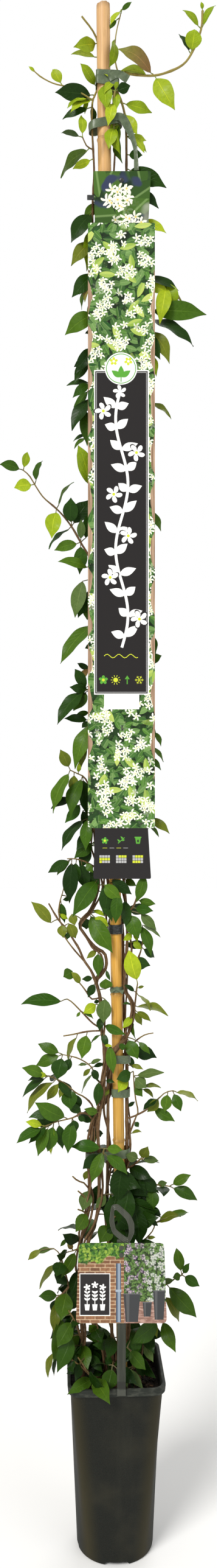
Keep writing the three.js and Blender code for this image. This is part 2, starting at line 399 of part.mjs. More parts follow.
// a skin over rings of equal count, closed by flat ends; a ring may fold into an edge or a point
function skin(rings) {
  const count = rings[0].length;
  const points = [];
  const known = new Map();
  const index = (point) => {
    const key = point.toArray().map((value) => value.toFixed(3)).join();
    if (!known.has(key)) known.set(key, points.push(point) - 1);
    return known.get(key);
  };
  const corners = rings.map((ring) => ring.map(index));
  const triangles = [];
  for (let k = 0; k + 1 < rings.length; k += 1) {
    for (let i = 0; i < count; i += 1) {
      const next = (i + 1) % count;
      const [a, b, c, d] = [corners[k][i], corners[k][next], corners[k + 1][next], corners[k + 1][i]];
      const shortest = points[a].distanceTo(points[c]) < points[b].distanceTo(points[d]) + 0.01;
      triangles.push(...(shortest ? [[a, b, c], [a, c, d]] : [[a, b, d], [b, c, d]]));
    }
  }
  const [first, last] = [corners[0], corners.at(-1)];
  for (let i = 1; i + 1 < count; i += 1) {
    triangles.push([first[0], first[i + 1], first[i]], [last[0], last[i], last[i + 1]]);
  }
  return solidFrom(points, triangles.filter(([a, b, c]) => a !== b && b !== c && c !== a));
}

function box(x0, x1, y0, y1, z0, z1) {
  const geometry = new THREE.BoxGeometry(x1 - x0, y1 - y0, z1 - z0);
  return solidOf(geometry.translate((x0 + x1) / 2, (y0 + y1) / 2, (z0 + z1) / 2));
}

// an outline with rounded corners, always counterclockwise
function outline(corners, corner) {
  const points = THREE.ShapeUtils.isClockWise(corners) ? [...corners].reverse() : corners;
  const shape = new THREE.Shape();
  const count = points.length;
  points.forEach((point, i) => {
    const before = points[(i + count - 1) % count];
    const after = points[(i + 1) % count];
    const start = point.clone().add(before.clone().sub(point).setLength(corner));
    const end = point.clone().add(after.clone().sub(point).setLength(corner));
    if (i === 0) shape.moveTo(start.x, start.y);
    else shape.lineTo(start.x, start.y);
    shape.quadraticCurveTo(point.x, point.y, end.x, end.y);
  });
  shape.closePath();
  return shape;
}

// an upright plate facing the front, its middle at a depth
function plate(shape, depth, thickness, curveSegments = 2) {
  const settings = { depth: thickness, bevelEnabled: false, curveSegments };
  const geometry = new THREE.ExtrudeGeometry(shape, settings);
  return solidOf(geometry.rotateX(Math.PI / 2).translate(0, depth + thickness / 2, 0));
}

function frontPoints(places, depth) {
  return places.map(([x, z]) => {
    const point = sighted(x, z, depth);
    return new THREE.Vector2(point.x, point.z);
  });
}

function pinAlongY(x, z, y0, y1, radius, sides = 8) {
  const geometry = new THREE.CylinderGeometry(radius, radius, Math.abs(y1 - y0), sides);
  return solidOf(geometry.translate(x, (y0 + y1) / 2, z));
}

// ---- pot and soil -----------------------------------------------------------------------------

function squareReach(angle, half, corner) {
  const along = Math.max(Math.abs(Math.cos(angle)), Math.abs(Math.sin(angle)));
  const across = Math.min(Math.abs(Math.cos(angle)), Math.abs(Math.sin(angle)));
  if ((half * across) / along <= half - corner) return half / along;
  const centre = half - corner;
  const dot = centre * (along + across);
  return dot + Math.sqrt(dot * dot - (2 * centre * centre - corner * corner));
}

// a ring of the pot's section: round at the base, a rounded square at the rim
function potRing(z, half, inset) {
  const share = z / POT.height;
  return Array.from({ length: POT.sides }, (_, i) => {
    const angle = (i / POT.sides) * 2 * Math.PI;
    const square = squareReach(angle, half, POT.cornerRadius);
    const reach = POT.baseRadius * (1 - share) + square * share - inset;
    const turned = angle + THREE.MathUtils.degToRad(POT.yaw);
    return new THREE.Vector3(reach * Math.cos(turned), reach * Math.sin(turned), z);
  });
}

function makePot() {
  const shell = skin([
    potRing(0, POT.wallHalf, 1.5),
    potRing(1.5, POT.wallHalf, 0),
    potRing(POT.height - POT.rimBand, POT.wallHalf, 0),
    potRing(POT.height - POT.rimBand + 0.4, POT.rimHalf, 0),
    potRing(POT.height - 0.6, POT.rimHalf, 0),
    potRing(POT.height, POT.rimHalf, 0.6),
    potRing(POT.height, POT.wallHalf, POT.wall),
    potRing(SOIL_TOP - 4, POT.wallHalf, POT.wall),
    potRing(POT.floor, POT.wallHalf, POT.wall),
  ]);
  const section = new THREE.Shape();
  section.moveTo(-CHANNEL.half, -1);
  section.lineTo(CHANNEL.half, -1);
  section.lineTo(CHANNEL.halfTop, CHANNEL.height);
  section.lineTo(-CHANNEL.halfTop, CHANNEL.height);
  section.closePath();
  let pot = shell;
  for (let quarter = 0; quarter < 4; quarter += 1) {
    const turn = THREE.MathUtils.degToRad(POT.yaw + quarter * 90);
    const channel = new THREE.ExtrudeGeometry(section, { depth: POT.baseRadius, bevelEnabled: false });
    channel.rotateX(Math.PI / 2).translate(0, -CHANNEL.start, 0).rotateZ(turn);
    const drain = new THREE.CylinderGeometry(CHANNEL.drainRadius, CHANNEL.drainRadius, 3 * POT.floor, 10);
    drain.rotateX(Math.PI / 2).translate(0, -CHANNEL.drainAt, 0).rotateZ(turn);
    pot = pot.subtract(solidOf(channel)).subtract(solidOf(drain));
  }
  return pot;
}

function makeSoil(holes) {
  const inset = POT.wall + GAP;
  const ground = skin([
    potRing(SOIL_TOP, POT.wallHalf, inset + 24),
    potRing(SOIL_TOP - 1, POT.wallHalf, inset + 8),
    potRing(SOIL_TOP - 4, POT.wallHalf, inset),
    potRing(POT.floor + GAP, POT.wallHalf, inset),
  ]);
  return ground.subtract(Manifold.union(holes));
}

// ---- bamboo cane ------------------------------------------------------------------------------

function caneRing(z, extra, slant) {
  const share = (z - CANE.foot) / (CANE.top - CANE.foot);
  const radius = CANE.footRadius + (CANE.topRadius - CANE.footRadius) * share + extra;
  return Array.from({ length: CANE.sides }, (_, i) => {
    const angle = (i / CANE.sides) * 2 * Math.PI;
    const cut = slant * Math.cos(angle + 0.6);
    return new THREE.Vector3(caneMiddle(z) + radius * Math.cos(angle), radius * Math.sin(angle), z + cut);
  });
}

function makeCane() {
  const rings = [caneRing(CANE.foot, 0, 0)];
  for (const z of CANE_JOINTS) {
    rings.push(caneRing(z - CANE_JOINT.half, 0, 0));
    rings.push(caneRing(z, CANE_JOINT.bulge, 0));
    rings.push(caneRing(z + CANE_JOINT.half, 0, 0));
  }
  const slant = 2.5;
  rings.push(caneRing(CANE.top - slant, 0, slant));
  const { radius, depth, sides } = CANE_BORE;
  const bore = new THREE.CylinderGeometry(radius, radius, depth, sides).rotateX(Math.PI / 2);
  bore.translate(caneMiddle(CANE.top), 0, CANE.top + 1 - depth / 2);
  return skin(rings).subtract(solidOf(bore));
}

function caneHole() {
  const sleeve = (z) => caneRing(z, GAP, 0);
  return skin([sleeve(CANE.foot - GAP), sleeve(POT.height)]);
}

// ---- ties -------------------------------------------------------------------------------------

// a closed band round the cane and the stems beside it, from left to right and front to back
function band({ left, right, front, back, z, height, thickness, tilt = 0, corner = 20 }) {
  const ring = (grow) => {
    const corners = [[left, front], [right, front], [right, back], [left, back]].map(([x, y]) => {
      const side = x === left ? -grow : grow;
      const face = y === front ? -grow : grow;
      return new THREE.Vector2(x + side, y + face);
    });
    const roundest = Math.min(back - front, right - left) / 2 - 0.2;
    return outline(corners, Math.min(corner, roundest) + grow);
  };
  const shape = ring(thickness);
  shape.holes.push(ring(0));
  const settings = { depth: height, bevelEnabled: false, curveSegments: 3 };
  const geometry = new THREE.ExtrudeGeometry(shape, settings);
  const middle = (left + right) / 2;
  geometry.translate(-middle, 0, -height / 2).rotateY(THREE.MathUtils.degToRad(-tilt));
  return solidOf(geometry.translate(middle, 0, sighted(0, z, -9).z));
}

const TAPE = { height: 9.5, thickness: 0.8, front: -7.9, back: 7.9 };

const TIES = [
  {
    name: "tie_top", colour: 0x5f6a5c,
    ring: { ...TAPE, left: -23.8, right: 4.6, z: 1898, height: 8, tilt: -14, corner: 3 },
    tail: { places: [[-6, 1896], [5, 1902], [16, 1895]], depth: -8.6, half: 3.2 },
  },
  {
    name: "tie_upper", colour: 0x5f6a5c,
    ring: { ...TAPE, left: -33.4, right: 9, front: -8.4, back: 7.5, z: 1841, height: 9, tilt: 12 },
    tail: { places: [[-2, 1844], [14, 1840], [25, 1815], [28, 1777]], depth: -9.2, half: 2.3 },
  },
  {
    name: "cane_clip", colour: 0x23282a,
    ring: { left: -7.8, right: 8.8, front: -7.7, back: 7.7, z: 792, height: 12, thickness: 1.6 },
  },
  {
    name: "tie_twisted", colour: 0x4f5d4b,
    ring: { ...TAPE, left: -5.6, right: 10.1, z: 713.5, height: 7, thickness: 0.9 },
    tail: { places: [[-2, 714], [5, 713]], depth: -8.7, half: 3 },
  },
  {
    name: "tie_middle", colour: 0x69755f,
    ring: { ...TAPE, left: -4.3, right: 19.6, z: 623, corner: 6 },
  },
  {
    name: "tie_lower", colour: 0x69755f,
    ring: { ...TAPE, left: -3.7, right: 19, z: 579, corner: 6 },
  },
  {
    name: "tie_long", colour: 0x7a8270,
    ring: { ...TAPE, left: -37.6, right: 18.4, back: 10.4, z: 498, height: 10, tilt: 6, corner: 6 },
  },
];

function strip({ places, depth, half }) {
  const middles = frontPoints(places, depth);
  const curve = new THREE.SplineCurve(middles);
  const points = curve.getSpacedPoints(Math.max(2, middles.length * 2));
  const across = points.map((_, i) => {
    const tangent = points[Math.min(i + 1, points.length - 1)].clone().sub(points[Math.max(i - 1, 0)]);
    return new THREE.Vector2(-tangent.y, tangent.x).setLength(half);
  });
  const upper = points.map((point, i) => point.clone().add(across[i]));
  const lower = points.map((point, i) => point.clone().sub(across[i])).reverse();
  return plate(new THREE.Shape([...upper, ...lower]), depth, 1);
}

function makeTie({ ring, tail }) {
  return tail ? band(ring).add(strip(tail)) : band(ring);
}

// ---- hanging label and its tie ----------------------------------------------------------------

const LABEL_OUTLINE = [
  [-28, 1776], [47, 1776], [43.5, 1709], [52, 1709],
  [52, 924], [43, 924], [47, 858], [-28, 858], [-26, 924],
  [-35, 924], [-35, 1709], [-26, 1709],
];

function roundHole(x, z, radius) {
  const corners = Array.from({ length: 10 }, (_, i) => {
    const angle = (i / 10) * 2 * Math.PI;
    return new THREE.Vector2(x + radius * Math.cos(angle), z + radius * Math.sin(angle));
  });
  return new THREE.Path(corners);
}

function makeLabel() {
  const shape = outline(frontPoints(LABEL_OUTLINE, LABEL.depth), LABEL.corner);
  const hole = sighted(LABEL.holeX, LABEL.holeZ, LABEL.depth);
  shape.holes.push(roundHole(hole.x, hole.z, LABEL.holeRadius));
  return plate(shape, LABEL.depth, LABEL.thickness);
}

const LABEL_TIE = {
  left: -20.3, right: 10.6, front: -12.8, back: 9, z: 1744, height: 6.5, thickness: 0.9, corner: 5,
};

// a band round the cane, a lug up behind the label and a button through its punched hole
function makeLabelTie() {
  const { x, z } = sighted(LABEL.holeX, LABEL.holeZ, LABEL.depth);
  const bandZ = sighted(0, LABEL_TIE.z, -9).z;
  const lugFront = LABEL_TIE.front - LABEL_TIE.thickness;
  const labelFront = LABEL.depth - LABEL.thickness / 2;
  const lug = box(x - 4, x + 2.6, lugFront, LABEL_TIE.front, bandZ - 2, z + 3);
  const pin = pinAlongY(x, z, lugFront + 0.5, labelFront - GAP - 0.5, LABEL.holeRadius - 0.4);
  const head = pinAlongY(x, z, labelFront - GAP, labelFront - GAP - 1.1, LABEL.holeRadius + 0.7);
  const tail = box(-34, LABEL_TIE.left + 2, -5.6, -4.6, bandZ - 3, bandZ + 3);
  return Manifold.union([band(LABEL_TIE), lug, pin, head, tail]);
}

// ---- carrier strap and picture tag ------------------------------------------------------------

const TAG_OUTLINE = [[-46.8, 385.5], [64, 385.5], [67.5, 281.6], [-50.7, 281.6]];

const LOOP_OUTSIDE = [
  [-4.5, 435], [4, 436.5], [20.5, 422], [25.3, 411], [25.3, 398], [16.5, 381], [-3.2, 397.5], [-7.6, 413],
];
const LOOP_INSIDE = [
  [-1.2, 427.5], [2, 428.5], [14.6, 416], [17.6, 408], [18.2, 399], [16.6, 391.5], [1, 403.5], [-0.8, 413],
];
const LOOP_RIB = [0.35, 0.65];

function loopRing(from, to, thickness) {
  const between = (share) => LOOP_OUTSIDE.map(([x, z], i) => {
    const [insideX, insideZ] = LOOP_INSIDE[i];
    return [x + (insideX - x) * share, z + (insideZ - z) * share];
  });
  const shape = outline(frontPoints(between(from), STRAP.depth), LOOP.corner * (1 - from * 0.6));
  shape.holes.push(outline(frontPoints(between(to), STRAP.depth), LOOP.corner * (1 - to * 0.6)));
  return plate(shape, STRAP.depth, thickness, 1);
}

function makeCarrier() {
  const { middle, half, depth, thickness } = STRAP;
  const front = depth - thickness / 2;
  const back = depth + thickness / 2;
  const top = sighted(0, STRAP.loopJoin, depth).z;
  const legBack = -(POT.wallHalf - POT.wall) + CLIP.clear + CLIP.leg;
  const bridgeFoot = POT.height + GAP;
  const tagFront = TAG.depth - TAG.thickness / 2;
  const studs = TAG.holeZ.map((place) => {
    const { x, z } = sighted(TAG.holeX, place, TAG.depth);
    const pin = pinAlongY(x, z, depth, tagFront - GAP - 0.4, STUD.radius);
    return pin.add(pinAlongY(x, z, tagFront - GAP, tagFront - GAP - STUD.head, STUD.headRadius));
  });
  return Manifold.union([
    box(middle - half, middle + half, front, back, CLIP.foot, top),
    box(middle - half, middle + half, front, legBack, bridgeFoot, bridgeFoot + CLIP.bridge),
    box(middle - half, middle + half, legBack - CLIP.leg, legBack, bridgeFoot - CLIP.reach, bridgeFoot + 1),
    loopRing(0, 1, LOOP.thickness),
    loopRing(...LOOP_RIB, LOOP.rib),
    ...studs,
  ]);
}

function makeTag() {
  const shape = outline(frontPoints(TAG_OUTLINE, TAG.depth), TAG.corner);
  for (const place of TAG.holeZ) {
    const { x, z } = sighted(TAG.holeX, place, TAG.depth);
    shape.holes.push(roundHole(x, z, TAG.holeRadius));
  }
  return plate(shape, TAG.depth, TAG.thickness);
}

// ---- wood of the leafy stems ------------------------------------------------------------------

function thinning(points, footRadius, tipRadius) {
  return points.map((point, i) => {
    const share = i / (points.length - 1);
    return { point, radius: footRadius + (tipRadius - footRadius) * share };
  });
}

// a main stem has a station { point, radius } at each of its places
function stemStations([footRadius, tipRadius, places]) {
  return thinning(places.map(([x, z, depth]) => sighted(x, z, depth)), footRadius, tipRadius);
}

// a side shoot has evenly spaced stations on a smooth curve
function shootStations([footRadius, tipRadius, places]) {
  const curve = new THREE.CatmullRomCurve3(places.map(([x, z, depth]) => sighted(x, z, depth)));
  const count = Math.max(2, Math.round(curve.getLength() / SHOOT.step));
  return thinning(curve.getSpacedPoints(count), footRadius, tipRadius);
}

function tube(stations, sides, extra = 0) {
  const side = new THREE.Vector3(0, 1, 0);
  const rings = stations.map(({ point, radius }, i) => {
    const ahead = stations[Math.min(i + 1, stations.length - 1)].point;
    const behind = stations[Math.max(i - 1, 0)].point;
    const along = ahead.clone().sub(behind).normalize();
    side.addScaledVector(along, -side.dot(along)).normalize();
    const across = new THREE.Vector3().crossVectors(along, side);
    return Array.from({ length: sides }, (_, k) => {
      const angle = (k / sides) * 2 * Math.PI;
      const reach = radius + extra;
      const offset = side.clone().multiplyScalar(reach * Math.cos(angle));
      return point.clone().add(offset.addScaledVector(across, reach * Math.sin(angle)));
    });
  });
  return skin(rings);
}

// ---- leaves -----------------------------------------------------------------------------------

// stations along a blade as [share of its length, share of its half width]
const SMALL_BLADE = [[0.45, 1]];
const MIDDLE_BLADE = [[0.3, 0.95], [0.66, 0.84]];
const LARGE_BLADE = [[0.2, 0.8], [0.46, 1], [0.76, 0.66]];

const BLADE_CORNERS = [[1, 1], [-1, 1], [-1, -1], [1, -1]]; // side and face
const STRAIGHT = new THREE.Quaternion();

// a thin arched blade from its base to its tip; one with a start has a stalk from there to its base
function blade({ start, base, tip, normal, width, arch }, thickness) {
  const along = tip.clone().sub(base).normalize();
  const across = new THREE.Vector3().crossVectors(normal, along);
  const length = tip.distanceTo(base);
  const section = (middle, half, bend = STRAIGHT) => BLADE_CORNERS.map(([side, face]) => {
    const offset = across.clone().multiplyScalar(side * half);
    offset.addScaledVector(normal, (face * thickness) / 2);
    return offset.applyQuaternion(bend).add(middle);
  });
  const foot = [];
  if (start) {
    const bend = new THREE.Quaternion().setFromUnitVectors(along, base.clone().sub(start).normalize());
    foot.push(section(start, 0, bend), section(base, STALK.half, STRAIGHT.clone().slerp(bend, 0.5)));
  } else {
    foot.push(section(base, 0));
  }
  const stations = length < LEAF.short ? SMALL_BLADE : length < LEAF.long ? MIDDLE_BLADE : LARGE_BLADE;
  const leaf = stations.map(([share, fullness]) => {
    const rise = arch * length * 4 * share * (1 - share);
    return section(base.clone().lerp(tip, share).addScaledVector(normal, rise), (width / 2) * fullness);
  });
  return skin([...foot, ...leaf, section(tip, 0)]);
}

// the blade's upper face turned about its midrib: towards the viewer at 0, up at 90 degrees
function turnedNormal(base, tip, facing, turn) {
  const along = tip.clone().sub(base).normalize();
  const normal = facing.clone().addScaledVector(along, -facing.dot(along)).normalize();
  return normal.applyAxisAngle(along, turn);
}

// draws in a fixed order
function drawing(seed) {
  let state = seed;
  return () => {
    state = (state * 1664525 + 1013904223) % 4294967296;
    return state / 4294967296;
  };
}

const FRONT = new THREE.Vector3(0, -1, 0);
const UP = new THREE.Vector3(0, 0, 1);

// ways to bend a leaf clear of its neighbours, mildest first: turn in degrees, shift of the tip's depth
const TURNS = [0, 18, -18, 34, -34, 52, -52, 72, -72];
const SHIFTS = [0, 7, -7, 14, -14, 24, -24];
const BENDS = TURNS.flatMap((turn) => SHIFTS.map((shift) => [turn, shift]))
  .sort((a, b) => Math.hypot(a[0] / 3, a[1]) - Math.hypot(b[0] / 3, b[1]));

function seenFrom(point) {
  const reach = VIEWER.distance / (VIEWER.distance + point.y);
  return new THREE.Vector2(VIEWER.x + (point.x - VIEWER.x) * reach, VIEWER.z + (point.z - VIEWER.z) * reach);
}

// the point of the wood that lies nearest to a place, as seen from the front
function nearestOn(wood, x, z) {
  const place = new THREE.Vector2(x, z);
  let best = { away: Infinity };
  for (const stations of wood) {
    for (let i = 0; i + 1 < stations.length; i += 1) {
      const [start, end] = [stations[i].point, stations[i + 1].point];
      const from = seenFrom(start);
      const reach = seenFrom(end).sub(from);
      const share = place.clone().sub(from).dot(reach) / Math.max(reach.lengthSq(), 1e-9);
      const point = start.clone().lerp(end, THREE.MathUtils.clamp(share, 0, 1));
      const away = seenFrom(point).distanceTo(place);
      if (away < best.away) best = { away, point };
    }
  }
  return best.point;
}

// a leaf of the table, bent by one of the ways above
function tableLeaf(wood, row, draw) {
  const [x, z, tipX, tipZ, seenWidth, arch, baseDepth, tipDepth] = row;
  const start = nearestOn(wood, x, z);
  const from = baseDepth ?? start.y;
  const seenLength = Math.hypot(tipX - x, tipZ - z);
  const to = tipDepth ?? from + seenLength * (0.75 * draw() - 0.4);
  const base = sighted(x, z, from);
  const side = draw() < 0.5 ? -1 : 1;
  return ([turn, shift]) => {
    const tip = sighted(tipX, tipZ, to + shift);
    const natural = Math.min(LEAF.widest, Math.max(seenWidth, LEAF.fullness * tip.distanceTo(base)));
    const roll = Math.acos(Math.min(1, seenWidth / natural));
    const up = turnedNormal(base, tip, FRONT, roll).z >= turnedNormal(base, tip, FRONT, -roll).z ? 1 : -1;
    const way = Math.abs(tip.x - base.x) < seenLength * 0.2 ? side : up;
    const angle = way * roll + THREE.MathUtils.degToRad(turn);
    return { start, base, tip, width: natural, arch, normal: turnedNormal(base, tip, FRONT, angle) };
  };
}

function largeEnough([x, z, tipX, tipZ, seenWidth]) {
  const length = Math.hypot(tipX - x, tipZ - z);
  return length >= LEAST.length && length * seenWidth >= LEAST.face;
}

// a leaf at the back of a stem, where it shows only from the sides and from behind
function backLeaf(start, draw) {
  const length = BACK_LEAVES.shortest + (BACK_LEAVES.longest - BACK_LEAVES.shortest) * draw();
  const drop = -BACK_LEAVES.drop * draw();
  const roll = (draw() - 0.5) * 0.9;
  const swing = (draw() - 0.5) * Math.PI * 0.9;
  const width = length * (0.38 + 0.1 * draw());
  let share = 1;
  let side = Math.sin(swing) * length;
  while (share > 0 && (start.x + side < BACK_LEAVES.left || start.x + side > BACK_LEAVES.right)) {
    share -= 0.1;
    side = Math.sin(swing * share) * length;
  }
  const back = Math.cos(swing * share) * length;
  return ([turn, shift]) => {
    const base = start.clone();
    const tip = start.clone().add(new THREE.Vector3(side, back, length * drop + shift));
    const angle = roll + THREE.MathUtils.degToRad(turn);
    return { start, base, tip, width, arch: G, normal: turnedNormal(base, tip, UP, angle) };
  };
}

// a leaf whose base is seen close to the wood starts in it, and any other has a stalk of its own
function leafSolid({ start, base, ...leaf }, extra) {
  const close = seenFrom(base).distanceTo(seenFrom(start)) < STALK.reach;
  const foot = close ? { base: start.clone() } : { start, base };
  return blade({ ...leaf, ...foot }, LEAF.thickness + 2 * extra);
}

// the outer part of a leaf, which keeps clear of its own stem's leaves
function outerSolid({ base, tip, start, ...leaf }) {
  return blade({ ...leaf, base: base.clone().lerp(tip, 0.25), tip, arch: 0.1 }, LEAF.thickness);
}

function boxesMeet(a, b) {
  return [0, 1, 2].every((i) => a.min[i] < b.max[i] && b.min[i] < a.max[i]);
}

function meets(solid, obstacles) {
  const bounds = solid.boundingBox();
  const near = obstacles.filter((other) => boxesMeet(bounds, other.bounds));
  return near.some((other) => !solid.intersect(other.solid).isEmpty());
}

function obstacle(solid) {
  return { solid, bounds: solid.boundingBox() };
}

// ---- putting it together ----------------------------------------------------------------------

const STEMS = [
  { name: "stem_left", shoots: LEFT_SHOOTS, leaves: LEFT_LEAVES, pairs: false, seed: 3 },
  { name: "stem_middle", shoots: MIDDLE_SHOOTS, leaves: MIDDLE_LEAVES, pairs: true, seed: 5 },
  { name: "stem_centre", shoots: CENTRE_SHOOTS, leaves: CENTRE_LEAVES, pairs: false, seed: 7 },
  { name: "stem_right", shoots: RIGHT_SHOOTS, leaves: RIGHT_LEAVES, pairs: true, seed: 9 },
];

function rooted(stations) {
  const foot = stations[0];
  const end = { point: foot.point.clone().setZ(ROOT_END), radius: foot.radius };
  return [end, ...stations];
}

// the main stem goes on straight down to its foot in the soil; side shoots start inside it
function growWood({ shoots }) {
  return shoots.map((shoot, i) => (i === 0 ? rooted(stemStations(shoot)) : shootStations(shoot)));
}

function spans(stations, sides) {
  const length = 8;
  const pieces = [];
  for (let i = 0; i + 1 < stations.length; i += length) {
    pieces.push(obstacle(tube(stations.slice(i, i + length + 1), sides, 0)));
  }
  return pieces;
}

// the hole that the soil leaves round a main stem
function soilHole(stations) {
  const low = stations.filter(({ point }) => point.z < POT.height);
  const [foot, ...rest] = low;
  const end = { ...foot, point: foot.point.clone().setZ(ROOT_END - GAP) };
  return tube([end, ...rest, stations[low.length]], STEM.sides, GAP);
}

// starts of the back leaves, at every stretch of a main stem that hangs out of sight
function backStarts({ wood, pairs }) {
  const hidden = wood[0].filter(({ point }) => BACK_LEAVES.heights.some(([low, high]) => (
    point.z > low && point.z < high
  )));
  const starts = hidden.filter((_, i) => i % BACK_LEAVES.every === 0).map(({ point }) => point);
  return starts.flatMap((point) => (pairs ? [point, point] : [point]));
}

// the space inside the loop, kept free for a finger
function handOpening() {
  const { x, z } = HAND;
  return box(x[0], x[1], STRAP.depth - 3.5, STRAP.depth + 5, z[0], z[1]);
}

const pot = makePot();
const cane = makeCane();
const ties = TIES.map((tie) => ({ ...tie, solid: makeTie(tie) }));
const label = makeLabel();
const labelTie = makeLabelTie();
const tag = makeTag();
const carrier = makeCarrier();

const plants = STEMS.map((stem) => {
  const wood = growWood(stem);
  const tubes = wood.map((stations, i) => tube(stations, i === 0 ? STEM.sides : SHOOT.sides));
  return { ...stem, wood, tubes, checks: wood.flatMap((stations) => spans(stations, 4)), blades: [] };
});
const soil = makeSoil([caneHole(), ...plants.map(({ wood }) => soilHole(wood[0]))]);

const holders = [pot, soil, cane, label, labelTie, tag, carrier, handOpening()];
const fixed = [...holders, ...ties.map(({ solid }) => solid)].map(obstacle);

for (const plant of plants) {
  const draw = drawing(plant.seed);
  const rows = plant.leaves.filter(largeEnough).map((row) => tableLeaf(plant.wood, row, draw));
  const backs = backStarts(plant).map((start) => backLeaf(start, draw));
  const others = plants.filter((other) => other !== plant);
  for (const bend of [...rows, ...backs]) {
    const around = [...fixed, ...others.flatMap(({ checks, blades }) => [...checks, ...blades])];
    const free = BENDS.filter((way) => !meets(leafSolid(bend(way), GAP), around));
    const way = free.find((choice) => !meets(outerSolid(bend(choice)), plant.blades)) ?? free[0];
    if (way) plant.blades.push(obstacle(leafSolid(bend(way), 0)));
  }
}

function nodeMesh(name, solid, colour, roughness) {
  const { vertProperties, triVerts } = solid.getMesh();
  const geometry = new THREE.BufferGeometry();
  geometry.setAttribute("position", new THREE.BufferAttribute(vertProperties, 3));
  geometry.setIndex(new THREE.BufferAttribute(triVerts, 1));
  const material = new THREE.MeshStandardMaterial({ color: colour, roughness, metalness: 0 });
  const mesh = new THREE.Mesh(geometry, material);
  mesh.name = name;
  return mesh;
}

const group = new THREE.Group();
group.add(
  nodeMesh("pot", pot, 0x2c2f2b, 0.62),
  nodeMesh("soil", soil, 0x241a13, 0.95),
  nodeMesh("bamboo_cane", cane, 0xd9a655, 0.5),
  nodeMesh("hang_label", label, 0x33302f, 0.4),
  nodeMesh("label_tie", labelTie, 0x23282a, 0.5),
  nodeMesh("picture_tag", tag, 0x6d7f52, 0.4),
  nodeMesh("carrier_strap", carrier, 0x3c3f3d, 0.45),
  ...ties.map(({ name, solid, colour }) => nodeMesh(name, solid, colour, 0.45)),
  ...plants.map(({ name, tubes, blades }) => (
    nodeMesh(name, Manifold.union([...tubes, ...blades.map(({ solid }) => solid)]), 0x3f6a2a, 0.4)
  )),
);

export default group;
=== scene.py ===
import math
import random

import bpy
import bmesh
from mathutils import Matrix, Quaternion, Vector, noise
from mathutils.bvhtree import BVHTree
from mathutils.kdtree import KDTree


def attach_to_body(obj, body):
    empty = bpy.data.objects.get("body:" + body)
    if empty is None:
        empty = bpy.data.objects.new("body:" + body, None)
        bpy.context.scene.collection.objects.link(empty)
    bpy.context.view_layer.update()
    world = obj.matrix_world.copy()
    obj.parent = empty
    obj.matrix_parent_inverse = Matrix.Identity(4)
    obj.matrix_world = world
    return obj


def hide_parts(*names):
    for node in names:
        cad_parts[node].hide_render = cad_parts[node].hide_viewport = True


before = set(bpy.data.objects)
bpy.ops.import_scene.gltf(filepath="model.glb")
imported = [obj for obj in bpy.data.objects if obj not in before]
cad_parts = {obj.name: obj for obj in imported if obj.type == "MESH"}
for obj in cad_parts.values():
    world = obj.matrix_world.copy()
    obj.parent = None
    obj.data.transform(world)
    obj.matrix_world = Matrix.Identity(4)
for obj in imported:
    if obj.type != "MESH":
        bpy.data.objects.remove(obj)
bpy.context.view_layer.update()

# Star jasmine on a bamboo cane in a square plastic pot. Sizes are in millimetres until a mesh is
# made, with +Z up and -Y towards the front; the origin is the middle of the pot's underside.


# ---- studio -----------------------------------------------------------------------------------
# A plain pale floor under soft light: a broad key from the upper left front, a weaker fill from
# the right, a rim from behind and a white surround. The eye stands at half the plant's height.

MM = 0.001
EYE = Vector((-8.3, -1454.0, 981.0))
LENS = 25.73
FLOOR_HALF, FLOOR_GREY, FLOOR_ROUGHNESS = 9000, 0.86, 0.9
SURROUND, SURROUND_STRENGTH = (1.0, 0.985, 0.95), 0.5
# The suns: azimuth from the front to the right, elevation, strength, spread and tint
SUNS = {
    "key": (-32, 42, 2.5, 22, (1.0, 0.985, 0.95)),
    "fill": (48, 24, 0.7, 50, (0.95, 0.98, 1.0)),
    "rim": (165, 35, 0.8, 40, (1.0, 1.0, 1.0)),
}


def put(name, data):
    """Puts a new object into the scene."""
    made = bpy.data.objects.new(name, data)
    bpy.context.collection.objects.link(made)
    return made


def solid_mesh(name, points, faces, material, smooth=True):
    """A piece from points in millimetres."""
    mesh = bpy.data.meshes.new(name)
    mesh.from_pydata([Vector(point) * MM for point in points], [], faces)
    mesh.materials.append(material)
    mesh.polygons.foreach_set("use_smooth", [smooth] * len(mesh.polygons))
    mesh.update()
    return put(name, mesh)


def node(tree, kind, inputs=None, **settings):
    """Adds a shader node, sets it up, and links or sets its inputs."""
    made = tree.nodes.new("ShaderNode" + kind)
    for key, value in settings.items():
        setattr(made, key, value)
    for key, value in (inputs or {}).items():
        value = getattr(value, "socket", value)
        if isinstance(value, bpy.types.NodeSocket):
            tree.links.new(value, made.inputs[key])
        elif made.inputs[key].type == "RGBA":
            made.inputs[key].default_value = (*value, 1.0)
        else:
            made.inputs[key].default_value = value
    return made


camera = put("camera", bpy.data.cameras.new("camera"))
camera.data.lens = LENS
camera.data.clip_end = 60
camera.location = EYE * MM
camera.rotation_euler = (math.pi / 2, 0, 0)
bpy.context.scene.camera = camera
bpy.context.scene.view_settings.view_transform = "Standard"

for name, (azimuth, elevation, strength, spread, tint) in SUNS.items():
    sun = put(name, bpy.data.lights.new(name, "SUN"))
    sun.data.energy = strength
    sun.data.angle = math.radians(spread)
    sun.data.color = tint
    across, up = math.radians(azimuth), math.radians(elevation)
    towards = Vector((math.sin(across) * math.cos(up), -math.cos(across) * math.cos(up), math.sin(up)))
    sun.rotation_euler = towards.to_track_quat("Z", "Y").to_euler()

world = bpy.data.worlds.new("surround")
bpy.context.scene.world = world
world.use_nodes = True
sky = world.node_tree
sky.nodes.clear()
white = node(sky, "Background", {"Color": (1, 1, 1)}).outputs[0]
glow = node(sky, "Background", {"Color": SURROUND, "Strength": SURROUND_STRENGTH}).outputs[0]
straight = node(sky, "LightPath").outputs["Is Camera Ray"]
both = node(sky, "MixShader", {"Fac": straight, 1: glow, 2: white}).outputs[0]
node(sky, "OutputWorld", {"Surface": both})

